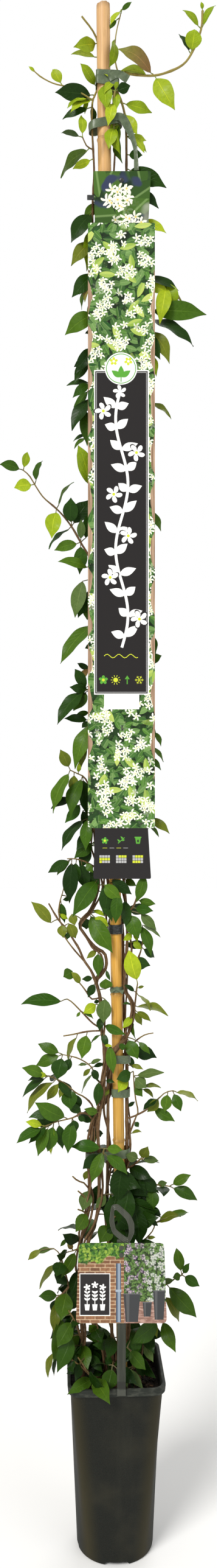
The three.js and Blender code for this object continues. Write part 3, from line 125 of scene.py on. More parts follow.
floor_paint = bpy.data.materials.new("floor_paint")
floor_paint.use_nodes = True
floor_shader = floor_paint.node_tree.nodes["Principled BSDF"]
floor_shader.inputs["Base Color"].default_value = (FLOOR_GREY, FLOOR_GREY, FLOOR_GREY, 1)
floor_shader.inputs["Roughness"].default_value = FLOOR_ROUGHNESS
corners = [(FLOOR_HALF * x, FLOOR_HALF * y, 0) for x, y in ((-1, -1), (1, -1), (1, 1), (-1, 1))]
solid_mesh("floor", corners, [(0, 1, 2, 3)], floor_paint)


# ---- pot --------------------------------------------------------------------------------------
# One injection-moulded pot of recycled black plastic, square at the rim and round at the base,
# with a thickened rim, four drainage channels in the underside and a hole at each channel.

POT_HEIGHT = 228
POT_RIM_HALF = 62
POT_RIM_BAND = 9.5
POT_WALL_HALF = 59
POT_CORNER = 15
POT_BASE_RADIUS = 49
POT_WALL = 1.8
POT_FLOOR = 7
POT_YAW = math.radians(2.5)
POT_SIDES = 128
RIM_FOOT = POT_HEIGHT - POT_RIM_BAND
CHANNEL_START, CHANNEL_HALF, CHANNEL_HALF_TOP, CHANNEL_HEIGHT = 20, 16.8, 13, 5
DRAIN_AT, DRAIN_RADIUS = 33, 4
POT_BLACK, POT_SPECK, POT_HAZE = (0.0075, 0.0084, 0.0066), (0.0165, 0.0175, 0.0135), (0.022, 0.021, 0.014)
# the last of these is the corners' tone: wear with a painted sheen on it
POT_FLOW, POT_EDGE_WEAR_AND_SHEEN = (0.026, 0.026, 0.019), (0.033, 0.0275, 0.0110)
RIM_DARK, RIM_SCUFFED = (0.020, 0.023, 0.019), (0.050, 0.053, 0.043)


class Reading:
    """A number, place or colour that a node of a finish gives at each point of a surface."""

    def __init__(self, socket):
        self.socket = socket

    def node(self, kind, inputs, *outputs, **settings):
        """What a further node gives: one reading, or one for each output that is named."""
        made = node(self.socket.id_data, kind, inputs, **settings)
        found = [Reading(made.outputs[output]) for output in outputs or (0,)]
        return found if len(found) > 1 else found[0]

    def sum(self, operation, *others):
        return self.node("Math", dict(enumerate((self, *others))), operation=operation)

    def __add__(self, other):
        return self.sum("ADD", other)

    def __sub__(self, other):
        return self.sum("SUBTRACT", other)

    def __rsub__(self, other):
        return self.node("Math", {0: other, 1: self}, operation="SUBTRACT")

    def __mul__(self, other):
        return self.sum("MULTIPLY", other)

    def __truediv__(self, other):
        return self.sum("DIVIDE", other)

    def __abs__(self):
        return self.sum("ABSOLUTE")

    def axis(self, name):
        return self.node("SeparateXYZ", {"Vector": self}, name)

    def between(self, low, high):
        """0 below low, 1 above high and smooth between; low may be the larger."""
        limits = {"Value": self, "From Min": low, "From Max": high}
        return self.node("MapRange", limits, interpolation_type="SMOOTHSTEP")

    def cloud(self, scale, detail=3.0, stretch=(1.0, 1.0, 1.0)):
        """Noise at a number of cells in a metre."""
        spread = self.node("Mapping", {"Vector": self, "Scale": stretch})
        return self.node("TexNoise", {"Vector": spread, "Scale": scale, "Detail": detail})


def mixed(share, first, second, way="MIX"):
    """The colour between two others."""
    known = share if isinstance(share, Reading) else first
    return known.node("Mix", {0: share, 6: first, 7: second}, 2, data_type="RGBA", blend_type=way)


class Finish:
    """A surface finish: a material that starts from a roughness and a gloss."""

    def __init__(self, name, roughness, gloss=0.5):
        self.material = bpy.data.materials.new(name)
        self.material.use_nodes = True
        self.tree = self.material.node_tree
        self.shader = self.tree.nodes["Principled BSDF"]
        self.shader.inputs["Roughness"].default_value = roughness
        self.shader.inputs["Specular IOR Level"].default_value = gloss
        self.place = Reading(node(self.tree, "TexCoord").outputs["Object"])

    def own_tone(self):
        """The colour that paint() gave each point."""
        return Reading(node(self.tree, "Attribute", attribute_name="tone").outputs["Color"])

    def coloured(self, tone, height=None, distance=0.0, strength=1.0):
        """The material, once its colour and the relief of its surface are joined to it."""
        self.tree.links.new(tone.socket, self.shader.inputs["Base Color"])
        if height is not None:
            bump = node(self.tree, "Bump", {"Height": height, "Distance": distance, "Strength": strength})
            self.tree.links.new(bump.outputs[0], self.shader.inputs["Normal"])
        return self.material


def paint(piece, tones):
    """Gives each point of a piece a colour of its own."""
    layer = piece.data.color_attributes.new("tone", "FLOAT_COLOR", "POINT")
    layer.data.foreach_set("color", [value for tone in tones for value in (*tone[:3], 1.0)])


class Skin:
    """The points, faces and tones of a piece that grows ring by ring."""

    def __init__(self):
        self.points, self.faces, self.tones = [], [], []

    def join(self, rings, circle=False, flipped=False):
        """Joins rings of equal count, and caps both ends unless they run in a circle."""
        start, count = len(self.points), len(rings[0])
        self.points += [point for ring in rings for point in ring]
        for k in range(len(rings) if circle else len(rings) - 1):
            here, onward = start + k * count, start + (k + 1) % len(rings) * count
            for i in range(count):
                j = (i + 1) % count
                face = (here + i, here + j, onward + j, onward + i)
                self.faces.append((face[0], *face[:0:-1]) if flipped else face)
        if not circle:
            turn = -1 if flipped else 1
            self.faces.append(tuple(range(start, start + count))[::-turn])
            self.faces.append(tuple(range(onward, onward + count))[::turn])
        return self

    def piece(self, name, material, crisp=None, outward=True, smooth=True):
        """The mesh so far, with its faces turned outwards and the edges above an angle crisp."""
        made = solid_mesh(name, self.points, self.faces, material, smooth)
        if self.tones:
            paint(made, self.tones)
        if outward:
            work = bmesh.new()
            work.from_mesh(made.data)
            bmesh.ops.recalc_face_normals(work, faces=work.faces)
            work.to_mesh(made.data)
            work.free()
        if crisp:
            made.data.set_sharp_from_angle(angle=math.radians(crisp))
        return made


def square_reach(angle, half, corner):
    """How far a rounded square reaches from its middle at an angle."""
    along = max(abs(math.cos(angle)), abs(math.sin(angle)))
    aside = min(abs(math.cos(angle)), abs(math.sin(angle)))
    if half * aside / along <= half - corner:
        return half / along
    centre = half - corner
    dot = centre * (along + aside)
    return dot + math.sqrt(dot * dot - (2 * centre * centre - corner * corner))


def pot_ring(z, half, inset, sides=POT_SIDES):
    """The pot's section at a height: round at the base, a rounded square at the rim."""
    share = z / POT_HEIGHT
    points = []
    for i in range(sides):
        angle = 2 * math.pi * i / sides
        reach = POT_BASE_RADIUS * (1 - share) + square_reach(angle, half, POT_CORNER) * share - inset
        points.append((reach * math.cos(angle + POT_YAW), reach * math.sin(angle + POT_YAW), z))
    return points


def cut(piece, cutters):
    """Cuts closed tools out of a piece and removes them."""
    for tool in cutters:
        change = piece.modifiers.new("cut", "BOOLEAN")
        change.operation = "DIFFERENCE"
        change.solver = "EXACT"
        change.object = tool
        with bpy.context.temp_override(object=piece):
            bpy.ops.object.modifier_apply(modifier=change.name)
        bpy.data.objects.remove(tool)


plastic = Finish("pot_plastic", 0.62, 0.15)
place = plastic.place
height = place.axis("Z")
speckle, haze = place.cloud(1500.0, 2.0), place.cloud(22.0, 4.0)
flow = place.cloud(45.0, 4.0, (1.0, 1.0, 0.12))
tone = mixed(speckle.between(0.35, 0.75), POT_BLACK, POT_SPECK)
tone = mixed(haze.between(0.45, 0.8), tone, POT_HAZE)
tone = mixed(flow.between(0.5, 0.8) * 0.5, tone, POT_FLOW)
# the corners, which grow sharper towards the rim, are worn to a warmer, lighter tone that is partly
# painted sheen, where the corners catch the light
turned = place.node("VectorRotate", {"Vector": place, "Angle": -POT_YAW}, rotation_type="Z_AXIS")
across, deep = abs(turned.axis("X")), abs(turned.axis("Y"))
reach = height * ((POT_WALL_HALF - POT_BASE_RADIUS) / POT_HEIGHT) + POT_BASE_RADIUS * MM
rounding = across.sum("MINIMUM", deep) / reach - height * 1.2
tone = mixed(rounding.between(0.34, 0.82), tone, POT_EDGE_WEAR_AND_SHEEN)
scuff = place.cloud(120.0, 5.0, (1.0, 1.0, 2.5)).between(0.42, 0.72)
on_rim = height.between((RIM_FOOT - 0.5) * MM, (RIM_FOOT + 1) * MM)
tone = mixed(on_rim, tone, mixed(scuff, RIM_DARK, RIM_SCUFFED))
pot_plastic = plastic.coloured(tone, speckle + haze, 0.00025, 0.5)

heights = [2.5 + 12.7 * i for i in range(17)]
outside = [(0, POT_WALL_HALF, 2.6), (0.7, POT_WALL_HALF, 0.8)]
outside += [(z, POT_WALL_HALF, 0) for z in heights]
outside += [(RIM_FOOT - 0.5, POT_WALL_HALF, 0), (RIM_FOOT, POT_WALL_HALF, -0.3)]
rim = [(RIM_FOOT + 0.1, POT_RIM_HALF, 0.7), (RIM_FOOT + 0.7, POT_RIM_HALF, 0)]
rim += [(POT_HEIGHT - 1.4, POT_RIM_HALF, 0), (POT_HEIGHT - 0.5, POT_RIM_HALF, 0.25)]
rim += [(POT_HEIGHT, POT_RIM_HALF, 1.0), (POT_HEIGHT, POT_WALL_HALF, POT_WALL - 0.9)]
inside = [(z, POT_WALL_HALF, POT_WALL) for z in (POT_HEIGHT - 0.9, *heights[:0:-1], POT_FLOOR)]
pot = Skin().join([pot_ring(*ring) for ring in outside + rim + inside]).piece("moulded_pot", pot_plastic)

cutters = []
for quarter in range(4):
    turn = Matrix.Rotation(POT_YAW + quarter * math.pi / 2, 3, "Z")
    section = [(-CHANNEL_HALF, -1), (CHANNEL_HALF, -1)]
    section += [(CHANNEL_HALF_TOP, CHANNEL_HEIGHT), (-CHANNEL_HALF_TOP, CHANNEL_HEIGHT)]
    ends = (-CHANNEL_START, -CHANNEL_START - POT_BASE_RADIUS)
    channel = [[turn @ Vector((x, y, z)) for x, z in section] for y in ends]
    around = [(math.cos(math.pi * i / 12), math.sin(math.pi * i / 12)) for i in range(24)]
    drain = [[turn @ Vector((DRAIN_RADIUS * c, DRAIN_RADIUS * s - DRAIN_AT, z)) for c, s in around]
             for z in (CHANNEL_HEIGHT - 2, POT_FLOOR + 5)]
    cutters += [Skin().join(rings).piece("tool", pot_plastic) for rings in (channel, drain)]
cut(pot, cutters)
pot.data.set_sharp_from_angle(angle=math.radians(38))
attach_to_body(pot, "root")
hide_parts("pot")


# ---- soil -------------------------------------------------------------------------------------
# Dark, damp peat mix with bark chips, filled to about 18 mm below the rim and sunk at the walls.
# The chips lie loose on top, each a rough splinter at an angle of its own.

SOIL_TOP, SOIL_SINK, SOIL_INSET = 210, 4, 2.1
SOIL_SIDES = 96
SOIL_SHARES = (1.0, 0.97, 0.93, 0.88, 0.82, 0.76, 0.7, 0.63, 0.56, 0.48, 0.4, 0.32, 0.24, 0.16, 0.08, 0.02)
SOIL_TONE, SOIL_SHADE = (0.016, 0.010, 0.006), (0.004, 0.003, 0.002)
CHIP_COUNT = 420
CHIP_TONES = [(0.012, 0.007, 0.004), (0.022, 0.012, 0.006), (0.048, 0.024, 0.010), (0.110, 0.060, 0.026)]
BOX_FACES = ((0, 2, 3, 1), (4, 5, 7, 6), (0, 1, 5, 4), (2, 6, 7, 3), (0, 4, 6, 2), (1, 3, 7, 5))


def soil_height(x, y):
    """The soil's uneven top at a place."""
    out = min(1.0, max(abs(x), abs(y)) / POT_WALL_HALF)
    rough = noise.fractal(Vector((x, y, 0)) * 0.09, 1.0, 2.0, 5)
    return SOIL_TOP - 1 - SOIL_SINK * out ** 6 + 1.6 * rough


rings = [pot_ring(POT_FLOOR + 0.4, POT_WALL_HALF, SOIL_INSET, SOIL_SIDES)]
edge = pot_ring(SOIL_TOP - SOIL_SINK, POT_WALL_HALF, SOIL_INSET, SOIL_SIDES)
for share in SOIL_SHARES:
    rings.append([(x * share, y * share, soil_height(x * share, y * share)) for x, y, z in edge])
earth = Skin().join(rings)
earth.tones = [SOIL_TONE] * len(earth.points)

draw = random.Random(11)
for _ in range(CHIP_COUNT):
    x, y = draw.uniform(-50, 50), draw.uniform(-50, 50)
    length, width, depth = draw.uniform(3, 11), draw.uniform(1.5, 4), draw.uniform(0.8, 1.8)
    lean = Quaternion((draw.gauss(0, 1), draw.gauss(0, 1), draw.gauss(0, 0.2)), draw.gauss(0, 0.4))
    lean @= Quaternion((0, 0, 1), draw.uniform(0, math.pi))
    middle = Vector((x, y, soil_height(x, y) + 0.4))
    start = len(earth.points)
    for i in range(8):
        side = Vector((length * ((i & 1) - 0.5), width * ((i >> 1 & 1) - 0.5), depth * ((i >> 2) - 0.5)))
        earth.points.append(middle + lean @ side * draw.uniform(0.75, 1.1))
    earth.faces += [tuple(start + corner for corner in face) for face in BOX_FACES]
    earth.tones += [draw.choice(CHIP_TONES)] * 8

mix = Finish("soil_mix", 0.9, 0.2)
crumb = mix.place.cloud(700.0, 6.0)
tone = mixed(crumb.between(0.35, 0.65), SOIL_SHADE, mix.own_tone())
soil = earth.piece("potting_soil", mix.coloured(tone, crumb, 0.002), outward=False, smooth=False)
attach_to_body(soil, "root")
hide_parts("soil")


# ---- bamboo cane ------------------------------------------------------------------------------
# One straight bamboo cane, hollow and sawn off roughly at the top, with a raised ring and a scar
# where each leaf sheath sat. It stands in the soil and leans a little to the left.

CANE_FOOT, CANE_TOP = 40, 1994.5
CANE_FOOT_X, CANE_TOP_X = 12.1, -16.5
CANE_FOOT_RADIUS, CANE_TOP_RADIUS = 6.5, 8.9
CANE_BEND_FROM, CANE_BEND = 1789, 0.0062
CANE_JOINTS = [330, 519, 708, 905, 1110, 1325, 1560, 1816]
JOINT_STEPS = (-9, -6, -4, -2.5, -1.5, -0.7, 0, 0.7, 1.5, 2.5, 3.4, 4.4, 6, 9)
CANE_SIDES = 36
CANE_BORE, CANE_BORE_DEPTH = 4.4, 26
CANE_RAGGED, CANE_SAWN_OFF = 2.2, 1.5
CANE_OLIVE, CANE_GOLD, CANE_PINK = (0.42, 0.26, 0.06), (0.64, 0.335, 0.050), (0.66, 0.40, 0.185)
CANE_SCAR, CANE_BRUISE = (0.20, 0.11, 0.035), (0.28, 0.16, 0.075)
CANE_CUT, CANE_INSIDE = (0.26, 0.15, 0.07), (0.25, 0.16, 0.08)
CANE_FIBRE, CANE_BAND, CANE_STAIN = (0.40, 0.22, 0.06), (0.80, 0.50, 0.17), (0.33, 0.19, 0.06)


def limited(value, most=1.0):
    """The value, kept from 0 to the most that it may be."""
    return min(most, max(0.0, value))


def hump(away, width):
    """1 in the middle and less and less on either side."""
    return math.exp(-((away / width) ** 2))


def cane_middle(z):
    """The straight line on which the cane stands."""
    return CANE_FOOT_X + (CANE_TOP_X - CANE_FOOT_X) * (z - CANE_FOOT) / (CANE_TOP - CANE_FOOT)


def cane_axis(z):
    """The cane's own middle, which bends a little to the right at the top."""
    return cane_middle(z) + CANE_BEND * max(0, z - CANE_BEND_FROM)


def cane_radius(z):
    share = (z - CANE_FOOT) / (CANE_TOP - CANE_FOOT)
    radius = CANE_FOOT_RADIUS + (CANE_TOP_RADIUS - CANE_FOOT_RADIUS) * share
    for joint in CANE_JOINTS:
        away = z - joint
        radius += 0.75 * hump(away, 1.5) + 0.3 * hump(away, 6) - 0.35 * hump(away - 3.4, 1.2)
    return radius


def cane_ring(z, radius, ragged=0.0):
    ring = []
    for i in range(CANE_SIDES):
        angle = 2 * math.pi * i / CANE_SIDES
        x, y = math.cos(angle), math.sin(angle)
        splinter = 0.4 * math.cos(angle + 0.6) + 0.6 * noise.noise(Vector((3.1 * x, 3.1 * y, 5.0)))
        ring.append((cane_axis(z) + radius * x, radius * y, z + ragged * splinter))
    return ring


def cane_tone(x, y, z):
    """Olive at the foot, gold above and pink at the top, scarred at the joints and cut brown."""
    away = min(abs(z - joint - 1.2) for joint in CANE_JOINTS)
    tone = Vector(CANE_OLIVE).lerp(Vector(CANE_GOLD), limited((z - 300) / 480))
    tone = tone.lerp(Vector(CANE_PINK), limited((z - 1500) / 380))
    tone = tone.lerp(Vector(CANE_SCAR), 0.5 * hump(away, 1.6) + 0.15 * hump(away, 9))
    if y < 0:
        tone = tone.lerp(Vector(CANE_BRUISE), 0.75 * hump(x + 14.2, 1.7) * hump(z - 1806, 6))
    tone = tone.lerp(Vector(CANE_CUT), limited((z - CANE_TOP + 7) / 6, 0.85))
    inside = math.hypot(x - cane_axis(z), y) < CANE_BORE + 1 and z > CANE_TOP - 40
    return tone.lerp(Vector(CANE_INSIDE), 0.9) if inside else tone


heights = {joint + step for joint in CANE_JOINTS for step in JOINT_STEPS} | set(range(CANE_FOOT, 1982, 24))
rings = [cane_ring(z, cane_radius(z)) for z in sorted(heights)]
cane_end = CANE_TOP - CANE_SAWN_OFF - CANE_RAGGED
cane_mouth = [(8, CANE_TOP_RADIUS), (0, CANE_TOP_RADIUS - 0.1), (0.3, CANE_TOP_RADIUS - 0.9)]
cane_mouth += [(0.4, CANE_BORE + 0.5), (1, CANE_BORE)]
rings += [cane_ring(cane_end - drop, radius, CANE_RAGGED) for drop, radius in cane_mouth]
rings.append(cane_ring(cane_end - CANE_BORE_DEPTH, CANE_BORE))
culm = Skin().join(rings)
culm.tones = [cane_tone(*point) for point in culm.points]

skin = Finish("bamboo", 0.45, 0.3)
fibre = skin.place.cloud(900.0, 3.0, (1.0, 1.0, 0.02))
band = skin.place.cloud(260.0, 4.0, (1.0, 1.0, 0.05))
stain = skin.place.cloud(70.0, 5.0, (1.0, 1.0, 0.35))
tone = mixed(fibre.between(0.45, 0.75) * 0.45, skin.own_tone(), CANE_FIBRE, "MULTIPLY")
tone = mixed(band.between(0.5, 0.78) * 0.5, tone, CANE_BAND)
tone = mixed(stain.between(0.55, 0.72) * 0.55, tone, CANE_STAIN)
cane = culm.piece("cane", skin.coloured(tone, fibre + band, 0.0002, 0.6), crisp=50)
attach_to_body(cane, "root")
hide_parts("bamboo_cane")


# ---- star jasmine -----------------------------------------------------------------------------
# Four woody stems twine up from the soil, held to the cane, and hidden behind the label for much
# of the way. Brown bark below turns to green shoots, and glossy leaves stand in pairs on them.

# Places on the plant are given as they line up for the eye, in the plane of the cane, followed by
# the real depth; sighted() moves such a place along its line of sight to that depth.


def sighted(x, z, depth):
    reach = (depth - EYE.y) / -EYE.y
    return Vector((EYE.x + (x - EYE.x) * reach, depth, EYE.z + (z - EYE.z) * reach))


def seen(point):
    """Where a point lines up in the plane of the cane."""
    reach = EYE.y / (EYE.y - point.y)
    return Vector((EYE.x + (point.x - EYE.x) * reach, EYE.z + (point.z - EYE.z) * reach))


TWINE_RADIUS = 11.6
TWINE_STEP = 45


def twine(from_angle, to_angle, from_z, to_z):
    """Places of a stem that winds round the cane, between two angles in degrees."""
    count = math.floor((to_z - from_z) / TWINE_STEP + 0.5)
    places = []
    for i in range(count + 1):
        z = from_z + (to_z - from_z) * i / count
        angle = math.radians(from_angle + (to_angle - from_angle) * i / count)
        places.append([cane_middle(z) + TWINE_RADIUS * math.cos(angle), z, TWINE_RADIUS * math.sin(angle)])
    return places


# Ages of a leaf: dark, green, pale, olive, young, browning. Dark is the deep green of mature
# leaves and also painted shade, on leaves inside the foliage and in its shadow; pale is painted
# sheen, the grey-green where glossy leaves catch the light, on leaves that show their paler
# underside. The value is how far its midrib arches, as a share of its length.
D, G, P, O, Y, B = 0.09, 0.11, 0.08, 0.13, 0.12, 0.18

# Shoots: [radius at the foot, radius at the tip, [[x, z, depth], ...]], the main stem first.
# Leaves: [x and z of the base, x and z of the tip, width as seen, age, depths of base and tip];
# the depths may be left out.

LEFT_SHOOTS = [
    [2.5, 1.6, [
        [-41, 196, -14], [-42, 262, -12], [-46, 330, -10], [-44, 385, -8], [-40, 405, -7], [-34, 430, -6],
        [-33, 480, -5], [-31, 515, -4], [-28, 545, -2], [-20, 560, 3], [-11, 575, 9], [-6, 592, 12.5],
        [-1, 615, 14], [1, 650, 13.5], [-1, 705, 13], [-3, 745, 13], [-5, 785, 12.5],
        *twine(130, 510, 835, 1244),
    ]],
    [1.7, 0.7, [
        [-15.5, 1242, 5.8], [-26, 1262, 2], [-35, 1279, 1], [-43, 1292, 1], [-55, 1313, 0], [-68, 1330, -3],
        [-78, 1340, -5], [-93, 1353, -8], [-102, 1366, -10], [-112, 1382, -10], [-119, 1388, -11],
    ]],
    [1.3, 0.6, [
        [-10, 577, 9], [-14, 590, 4], [-23, 597, -2], [-30, 613, -6], [-38, 620, -8], [-50, 626, -10],
        [-68, 630, -12],
    ]],
    [1.3, 0.6, [
        [-26, 550, 0], [-30, 565, -4], [-40, 575, -7], [-50, 580, -10], [-62, 590, -12], [-75, 598, -14],
        [-87, 602, -16],
    ]],
    [1.4, 0.6, [
        [-28, 544, -2], [-36, 553, -8], [-44, 554, -12], [-52, 549, -15], [-62, 546, -17], [-75, 543, -19],
        [-91, 537, -20],
    ]],
    [2.0, 0.9, [[-46, 338, -10], [-54, 338, -16], [-62, 326, -20], [-70, 318, -22], [-76, 314, -24]]],
    [1.4, 0.6, [[-60, 330, -19], [-66, 352, -21], [-69, 364, -22], [-73, 373, -23], [-79, 378, -24]]],
    [1.5, 0.9, [[-42, 258, -12], [-46, 268, -26], [-52, 284, -35], [-60, 298, -38]]],
    [1.2, 0.8, [[-33, 455, -6], [-41, 464, -10], [-48, 466, -13], [-55, 472, -16]]],
    [1.1, 0.8, [[-33, 436, -6], [-41, 447, -12], [-48, 453, -16]]],
    [1.1, 0.9, [[-36, 423, -6], [-42, 427, -12], [-48, 429, -16]]],
    [1.0, 0.6, [[-44, 380, -8], [-53, 376, -14], [-60, 374, -18]]],
]
LEFT_LEAVES = [
    [-117, 1388, -150, 1397, 13, G], [-118, 1388, -114, 1412, 8, Y], [-102, 1369, -131, 1366, 17, Y],
    [-102, 1368, -94, 1402, 6, G], [-78, 1339, -82, 1300, 21, Y], [-77, 1341, -53, 1374, 2.5, G],
    [-55, 1316, -57, 1353, 20, D], [-57, 1316, -86, 1287, 5, D], [-52, 1318, -32, 1350, 22, D],
    [-41, 1296, -44, 1325, 11, P], [-45, 1296, -79, 1284, 14, G], [-43, 1294, -46, 1255, 18, G],
    [-38, 1300, -33, 1335, 14, D], [-36, 1262, -74, 1271, 9, G], [-67, 631, -100, 644, 13, G],
    [-67, 630, -102, 616, 12, G], [-70, 628, -75, 598, 22, D], [-54, 626, -66, 607, 12, D],
    [-33, 617, -48, 616, 3, P], [-30, 617, -17, 624, 4, P], [-31, 615, -13, 618, 4, D],
    [-33, 614, -41, 602, 6, O], [-32, 609, -43, 580, 3, P], [-31, 613, -22, 596, 10, D],
    [-86, 603, -121, 613, 12, G], [-86, 602, -101, 606, 7, Y], [-86, 601, -120, 576, 8, D],
    [-83, 603, -64, 613, 6, P], [-88, 601, -113, 597, 5, D], [-76, 598, -114, 556, 8, O],
    [-74, 598, -57, 574, 9, D], [-72, 594, -88, 572, 12, O], [-69, 592, -72, 574, 8, O],
    [-59, 589, -57, 559, 21, G], [-52, 581, -46, 560, 12, D], [-64, 547, -104, 569, 21, G],
    [-78, 556, -112, 550, 12, D], [-91, 537, -116, 543, 9, Y], [-74, 546, -106, 541, 14, D],
    [-90, 538, -128, 515, 11, G], [-88, 538, -112, 515, 9, D], [-86, 541, -100, 499, 13, G],
    [-78, 543, -87, 505, 19, G], [-75, 536, -83, 502, 9, Y], [-70, 542, -68, 509, 14, D],
    [-58, 547, -61, 504, 19, G], [-52, 548, -50, 530, 12, D], [-50, 549, -38, 544, 8, D],
    [-44, 556, -62, 566, 12, D], [-36, 484, -40, 468, 9, O], [-34, 458, -42, 428, 18, P, -8, -14],
    [-35, 430, -51, 400, 18, G, -10, -26], [-46, 385, -68, 398, 16, D, -14, -30],
    [-62, 391, -71, 381, 5, G], [-54, 378, -62, 388, 7, B], [-79, 378, -103, 373, 4, P],
    [-96, 376, -113, 364, 7, O], [-69, 363, -98, 326, 4.5, O], [-49, 373, -70, 341, 15, G, -16, -34],
    [-57, 332, -68, 337, 5, O], [-72, 319, -99, 317, 14, G], [-49, 358, -57, 318, 17, D, -14, -24],
    [-75, 316, -83, 298, 8, D], [-62, 324, -70, 286, 24, G, -26, -40],
    [-76, 308, -80, 270, 14, O, -28, -38], [-42, 290, -75, 251, 21, G, -40, -54],
    [-70, 288, -80, 232, 15, G, -32, -44], [-56, 264, -75, 220, 21, G, -38, -56],
    [-79, 244, -87, 211, 6, O, -38, -46], [-76, 236, -79, 214, 4, D, -36, -40],
    [-60, 250, -52, 222, 14, D, -30, -36], [-42, 256, -35, 222, 19, G, -26, -42],
    [-50, 300, -56, 276, 18, D, -34, -44],
]

MIDDLE_SHOOTS = [
    [2.4, 1.2, [
        [-12, 196, -8], [-13, 240, -9], [-20, 258, -9], [-27, 276, -9], [-36, 330, -12], [-35, 385, -14],
        [-25, 414, -9], [-21, 440, -4], [-21, 500, -4], [-22, 535, -6], [-19, 557, -8], [-15, 580, -7],
        [-13.5, 607, -6], [-14, 640, -1], [-17, 660, 0], [-18, 690, 0], [-21, 712, -1], [-24, 726, -1],
        [-18, 733, -2], [-12, 742, -4], [-11, 752, -4], [-14, 762, -4], [-23, 767, -4], [-31, 775, -4],
        [-40, 787, -4], [-46, 797, -4], [-42, 806, -3], [-34, 814, -2], [-29, 823, 0], [-24, 836, 2],
        [-21, 856, 3], [-24, 890, 4], [-28, 950, 7], [-23, 1010, 4], [-26, 1070, 0], [-29, 1130, 4],
        [-25, 1190, 8], [-27, 1250, 9], [-30, 1310, 4], [-26, 1370, 0], [-24, 1430, 4], [-28, 1490, 7],
        [-27, 1550, 3], [-24, 1610, 1], [-28, 1670, 5], [-29, 1730, 3], [-27, 1775, -1], [-28, 1800, -2],
        [-30, 1845, -3], [-28, 1885, -3], [-27, 1920, -2], [-30, 1958, -4], [-43, 1977, -8],
    ]],
    [1.4, 0.8, [[-13, 214, -8], [-22, 211, -26], [-31, 213, -38], [-45, 226, -42], [-62, 238, -44]]],
    [1.1, 0.8, [[-37, 220, -40], [-43, 230, -40], [-48, 237, -42]]],
    [1.3, 0.9, [[-21, 478, -4], [-18.5, 486, -13], [-16, 497, -17.5], [-14, 508, -18]]],
    [1.2, 0.8, [[-17, 661, 0], [-35, 660, -4], [-55, 656, -8], [-67, 654, -10]]],
    [1.2, 0.8, [[-18, 664, 0], [-28, 670, -3], [-40, 682, -6], [-57, 699, -10], [-62, 702, -11]]],
    [1.1, 0.8, [[-19, 704, 0], [-30, 702, -4], [-38, 713, -6], [-50, 727, -9], [-61, 733, -10]]],
    [1.9, 1.0, [
        [-20, 708, -1], [-30, 737, -8], [-40, 752, -9], [-47, 768, -10], [-54, 779, -10], [-62, 792, -11],
        [-72, 803, -12], [-78, 812, -13], [-86, 826, -15],
    ]],
    [1.1, 0.8, [[-38, 749, -9], [-53, 766, -14], [-60, 775, -15], [-67, 785, -16]]],
    [1.0, 0.6, [[-71, 802, -12], [-73, 815, -10], [-71, 830, -8], [-68, 840, -7], [-66, 848, -6]]],
    [1.2, 0.7, [[-24, 872, 3], [-38, 880, -6], [-52, 884, -12], [-62, 884, -16]]],
    [1.2, 0.7, [[-28, 965, 6], [-40, 990, 0], [-50, 995, -4], [-58, 999, -8]]],
    [1.1, 0.7, [[-28, 1804, -2], [-36, 1808, -6], [-42, 1820, -9]]],
    [1.2, 0.7, [
        [-29, 1868, -3], [-45, 1878, -6], [-60, 1885, -10], [-80, 1890, -14], [-97, 1899, -17],
        [-107, 1908, -19],
    ]],
]
